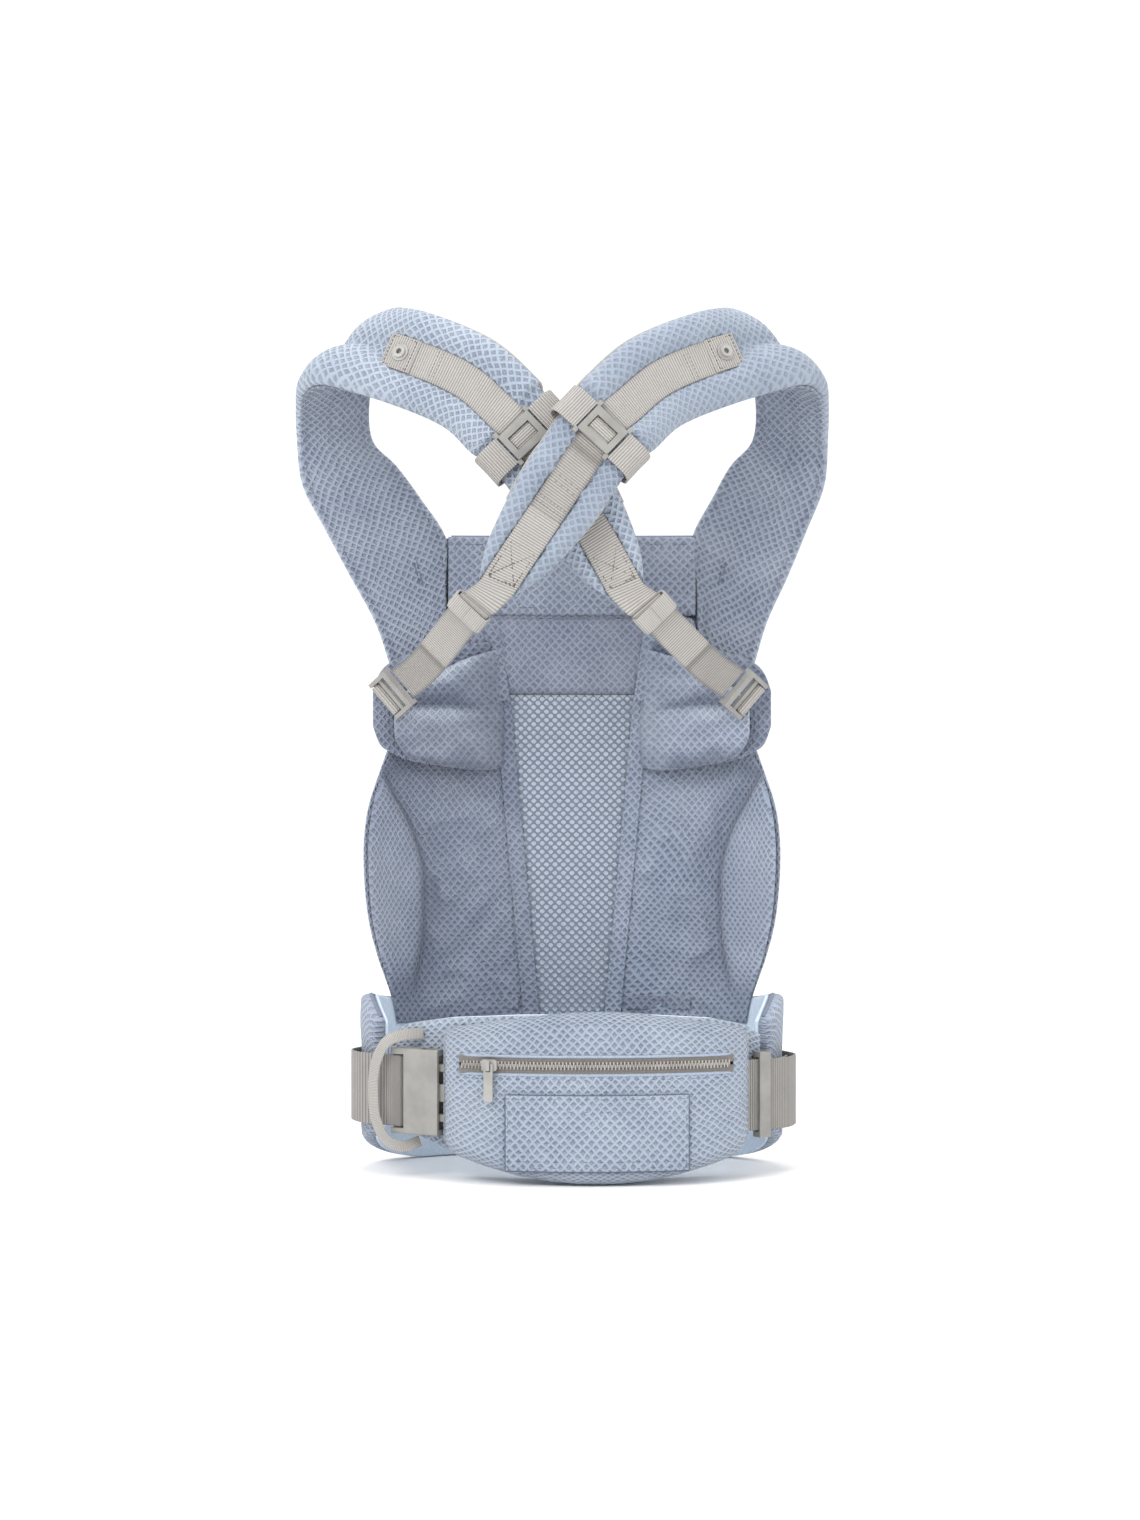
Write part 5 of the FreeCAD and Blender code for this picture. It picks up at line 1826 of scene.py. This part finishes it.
def make_patch():
    """Patch pocket on the pouch's front, with its stitches and a dark cord of painted shadow round its
    edge.
    """
    def surface(t, x):
        angle = PATCH_FROM + (PATCH_TO - PATCH_FROM) * t
        z = PATCH_BOTTOM + (PATCH_TOP - PATCH_BOTTOM) * x
        return arc_point(angle, POUCH_FRONT + 0.2, z), arc_outward(angle)

    def depth(t, x):
        p = surface(t, x)[0]
        hold = min(clamp(t / 0.06), clamp((1 - t) / 0.06), clamp(x / 0.12), 1.0)
        return -1.0, 1.0 + hold * (0.7 + 0.7 * rumple(p, 30, 2.0)) + 0.5 * ease(x, 0.86, 0.9)

    def weave(t, x):
        return math.radians(PATCH_TO - PATCH_FROM) * t * 268, 52 * x
    patch = cushion("patch", surface, (127, 52), depth, 0.8, 3.0, weave)
    settle(patch, KNIT_POUCH, "carrier", ("patch_pocket",))

    def on_top(t, x):
        return add(*surface(t, x), depth(t, x)[1] + 0.1)
    lines = []
    for x in (0.79, 0.955, 0.13, 0.045):
        lines.append(([on_top(t, x) for t in spread(0.008, 0.992, 60)], FRONT))
    for t in (0.014, 0.986):
        lines.append(([on_top(t, x) for x in spread(0.03, 0.97, 30)], FRONT))
    stitches("patch_stitches", lines, "carrier", THREAD)
    # Dark cord round the patch's edge: painted shadow along its seam.
    corners = [(0, 0), (1, 0), (1, 1), (0, 1), (0, 0)]
    rim = []
    for (t0, x0), (t1, x1) in zip(corners, corners[1:]):
        for f in spread(0, 1, 40):
            rim.append(add(*surface(t0 + (t1 - t0) * f, x0 + (x1 - x0) * f), 0.1))
    settle(tube("patch_seam_shadow", rim, 0.7), SEAM_SHADOW, "carrier", ())


def make_zip():
    """Woven tapes and two rows of interlocked teeth."""
    half = ZIP_HEIGHT / 2 - 0.1
    nodes = ("zip_tapes",)
    for name, low, high in (("lower", -half, -1.0), ("upper", 1.0, half)):
        def surface(t, x, low=low, high=high):
            angle = ZIP_FROM + 0.1 + (ZIP_TO - ZIP_FROM - 0.2) * t
            return arc_point(angle, 266.1, ZIP_Z + low + (high - low) * x), arc_outward(angle)
        tape = cushion(f"zip_tape_{name}", surface, (196, 5.8), lambda t, x: (-0.5, 0.5), 0.4, 3.0)
        settle(tape, ZIP_TAPE, "carrier", nodes)
        nodes = ()
    vertices = []
    faces = []
    pitch = 1.25
    count = int(math.radians(ZIP_TO - ZIP_FROM - 1.2) * 267 / pitch)
    for i in range(count):
        angle = ZIP_FROM + 0.6 + math.degrees(i * pitch / 267)
        up = 1 if i % 2 else -1
        outward = arc_outward(angle)
        across = arc_across(angle)
        centre = arc_point(angle, 267.3, ZIP_Z + up * 0.75)
        add_tooth(vertices, faces, centre, across, outward, up)
    teeth = new_object("zip_teeth_rows", vertices, faces)
    settle(teeth, ZIP_TEETH, "carrier", ("zip_coil",))


def add_tooth(vertices, faces, centre, across, outward, up):
    """One tooth: a small block with a bevelled top, 4.4 mm tall."""
    first = len(vertices)
    for high, wide, depth in ((-1.7, 0.5, -0.7), (-1.7, 0.5, 0.35), (2.0, 0.5, 0.35), (2.0, 0.5, -0.7)):
        for s in (-1, 1):
            p = add(add(centre, across, s * wide), outward, depth)
            vertices.append(add(p, (0, 0, up), high))
    top = len(vertices)
    for high in (-1.2, 1.5):
        vertices.append(add(add(centre, outward, 0.85), (0, 0, up), high))
    a = first
    faces += [
        [a, a + 2, a + 3, a + 1],
        [a + 4, a + 6, a + 7, a + 5],
        [a, a + 6, a + 4, a + 2],
        [a + 1, a + 3, a + 5, a + 7],
        [a + 2, a + 4, top + 1, top],
        [a + 3, top, top + 1, a + 5],
        [a + 2, top, a + 3],
        [a + 4, a + 5, top + 1],
    ]


# ---------------------------------------------------------------- waist webbing

def buckle_point(t, n):
    outward = arc_outward(BUCKLE_ANGLE)
    origin = arc_point(BUCKLE_ANGLE, BUCKLE_RADIUS, WAIST_Z)
    side = unit(cross((0, 0, 1), outward))
    return add(add(origin, side, t), outward, n)


def make_waist_webbing():
    """Webbing from the belt's two ends to the buckle and to the pouch."""
    half = WAIST_WEB_WIDTH / 2
    path = [belt_point(angle, WEB_STANDOFF)[:2] for angle in (-68, -74, -80, -86)]
    path += [(-157.5, 2), (-157, -10), (-151, -24), (-140, -34.5)]
    path += [buckle_point(t, n)[:2] for t, n in ((-22, 4.6), (-16, 4.9), (-12, 4.3), (-10.7, 0))]
    path += [buckle_point(t, n)[:2] for t, n in ((-12, -4.3), (-16, -4.9), (-23, -4.4))]
    left = plan_strip("waist_web_left", path, WAIST_Z - half, WAIST_Z + half)
    settle(left, WAIST_WEB, "carrier", ("waist_webbing_left",))
    z0 = WAIST_Z - 3 - half
    z1 = WAIST_Z - 3 + half
    path = [arc_point(angle, 249.0, 0)[:2] for angle in (21, 24, 27, 30)]
    path += [(145.5, -36.4), (153.5, -28), (158.5, -15), (159.5, -2)]
    path += [belt_point(angle, WEB_STANDOFF)[:2] for angle in (84, 79, 74, 68)]
    right = plan_strip("waist_web_right", path, z0, z1)
    settle(right, WAIST_WEB, "carrier", ("waist_webbing_right",))
    tail = [arc_point(angle, 246.6, 0)[:2] for angle in (28.2, 30)]
    tail += [(140.2, -36.4), (146.5, -30), (151, -20), (153.6, -10)]
    piece = plan_strip("waist_web_tail", tail, z0 + 0.5, z1 - 0.5)
    settle(piece, WAIST_WEB, "carrier", ("waist_webbing_tail",))


def make_safety_loop():
    """Elastic band round the buckle."""
    rows = [
        (-105, -42.5, 100), (-119, -47, 99), (-131, -48, 93.5), (-138, -47, 78), (-139.5, -45.5, 60),
        (-138, -47, 42), (-131, -48, 26.5), (-119, -47, 21), (-107, -42.5, 24),
    ]

    def place(t):
        s = t * (len(rows) - 1)
        point = catmull(rows, s)
        along = unit(add(catmull(rows, min(s + 0.1, 8)), catmull(rows, max(s - 0.1, 0)), -1))
        outward = unit(cross(cross(along, (-0.45, -0.89, 0)), along))
        return point, unit(cross(along, outward)), outward
    loop = ribbon("elastic_loop", place, path_length(rows), 4, 1.4)
    settle(loop, ELASTIC, "carrier", ("safety_loop",))


def make_waist():
    make_belt()
    make_lumbar_pad()
    make_pouch()
    make_patch()
    make_zip()
    make_waist_webbing()
    make_safety_loop()


# ---------------------------------------------------------------- plastics

def repaint(nodes, material):
    """Give CAD pieces that stay visible a new material."""
    for name in nodes:
        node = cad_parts[name]
        for place in node.material_slots:
            place.material = material


def make_plastics():
    sides = [f"{part}_{name}" for part in ("rail_slider", "ladder_lock") for name in SIDES]
    repaint(sides, PLASTIC)
    buckle = [f"buckle_{part}" for part in ("housing", "male", "prong_upper", "prong_lower")]
    repaint(buckle + ["waist_slide"], PLASTIC)
    repaint(["snap_sockets"], SNAP)
    repaint(["zip_slider", "zip_pull_tab"], ZIP_PAINT)


# ---------------------------------------------------------------- floor, light, camera

def make_stage():
    """Pale floor and an even white surrounding."""
    bpy.ops.mesh.primitive_plane_add(size=14, location=(0, 3.0, -0.0008))
    floor = bpy.context.object
    floor.name = "floor"
    paper = bpy.data.materials.new("white_paper")
    paper.use_nodes = True
    shader = paper.node_tree.nodes["Principled BSDF"]
    shader.inputs["Base Color"].default_value = (0.97, 0.97, 0.97, 1)
    shader.inputs["Roughness"].default_value = 0.9
    floor.data.materials.append(paper)
    floor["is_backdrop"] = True
    world = bpy.data.worlds.new("studio")
    world.use_nodes = True
    world.node_tree.nodes["Background"].inputs[0].default_value = (1, 1, 1, 1)
    world.node_tree.nodes["Background"].inputs[1].default_value = 1.07
    bpy.context.scene.world = world
    bpy.context.scene.view_settings.view_transform = "Standard"


def area_light(name, place, target, size, power):
    lamp = bpy.data.lights.new(name, "AREA")
    lamp.shape = "RECTANGLE"
    lamp.size, lamp.size_y = size
    lamp.energy = power
    piece = bpy.data.objects.new(name, lamp)
    piece.location = place
    piece.rotation_euler = (Vector(target) - Vector(place)).to_track_quat("-Z", "Y").to_euler()
    bpy.context.scene.collection.objects.link(piece)


def make_lights():
    area_light("key", (-1.1, -1.6, 1.7), (0, 0, 0.35), (1.1, 1.1), 26)
    area_light("fill", (1.5, -1.4, 1.0), (0, 0, 0.35), (1.2, 1.2), 9)
    area_light("top", (0.0, 0.2, 2.0), (0, 0, 0.3), (1.2, 1.2), 14)


def make_camera():
    lens = bpy.data.cameras.new("camera")
    lens.lens = 65.8
    lens.sensor_width = 36
    lens.sensor_fit = "AUTO"
    camera = bpy.data.objects.new("camera", lens)
    camera.location = in_metres(EYE)
    camera.rotation_euler = (math.radians(90), 0, 0)
    bpy.context.scene.collection.objects.link(camera)
    bpy.context.scene.camera = camera


# ---------------------------------------------------------------- the whole carrier

make_straps()
make_panel()
make_waist()
make_plastics()
make_stage()
make_lights()
make_camera()

boxes = {"cad": CAD_BOX, "visual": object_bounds()}
{k: [list(map(float, corner)) for corner in v] for k, v in boxes.items()}
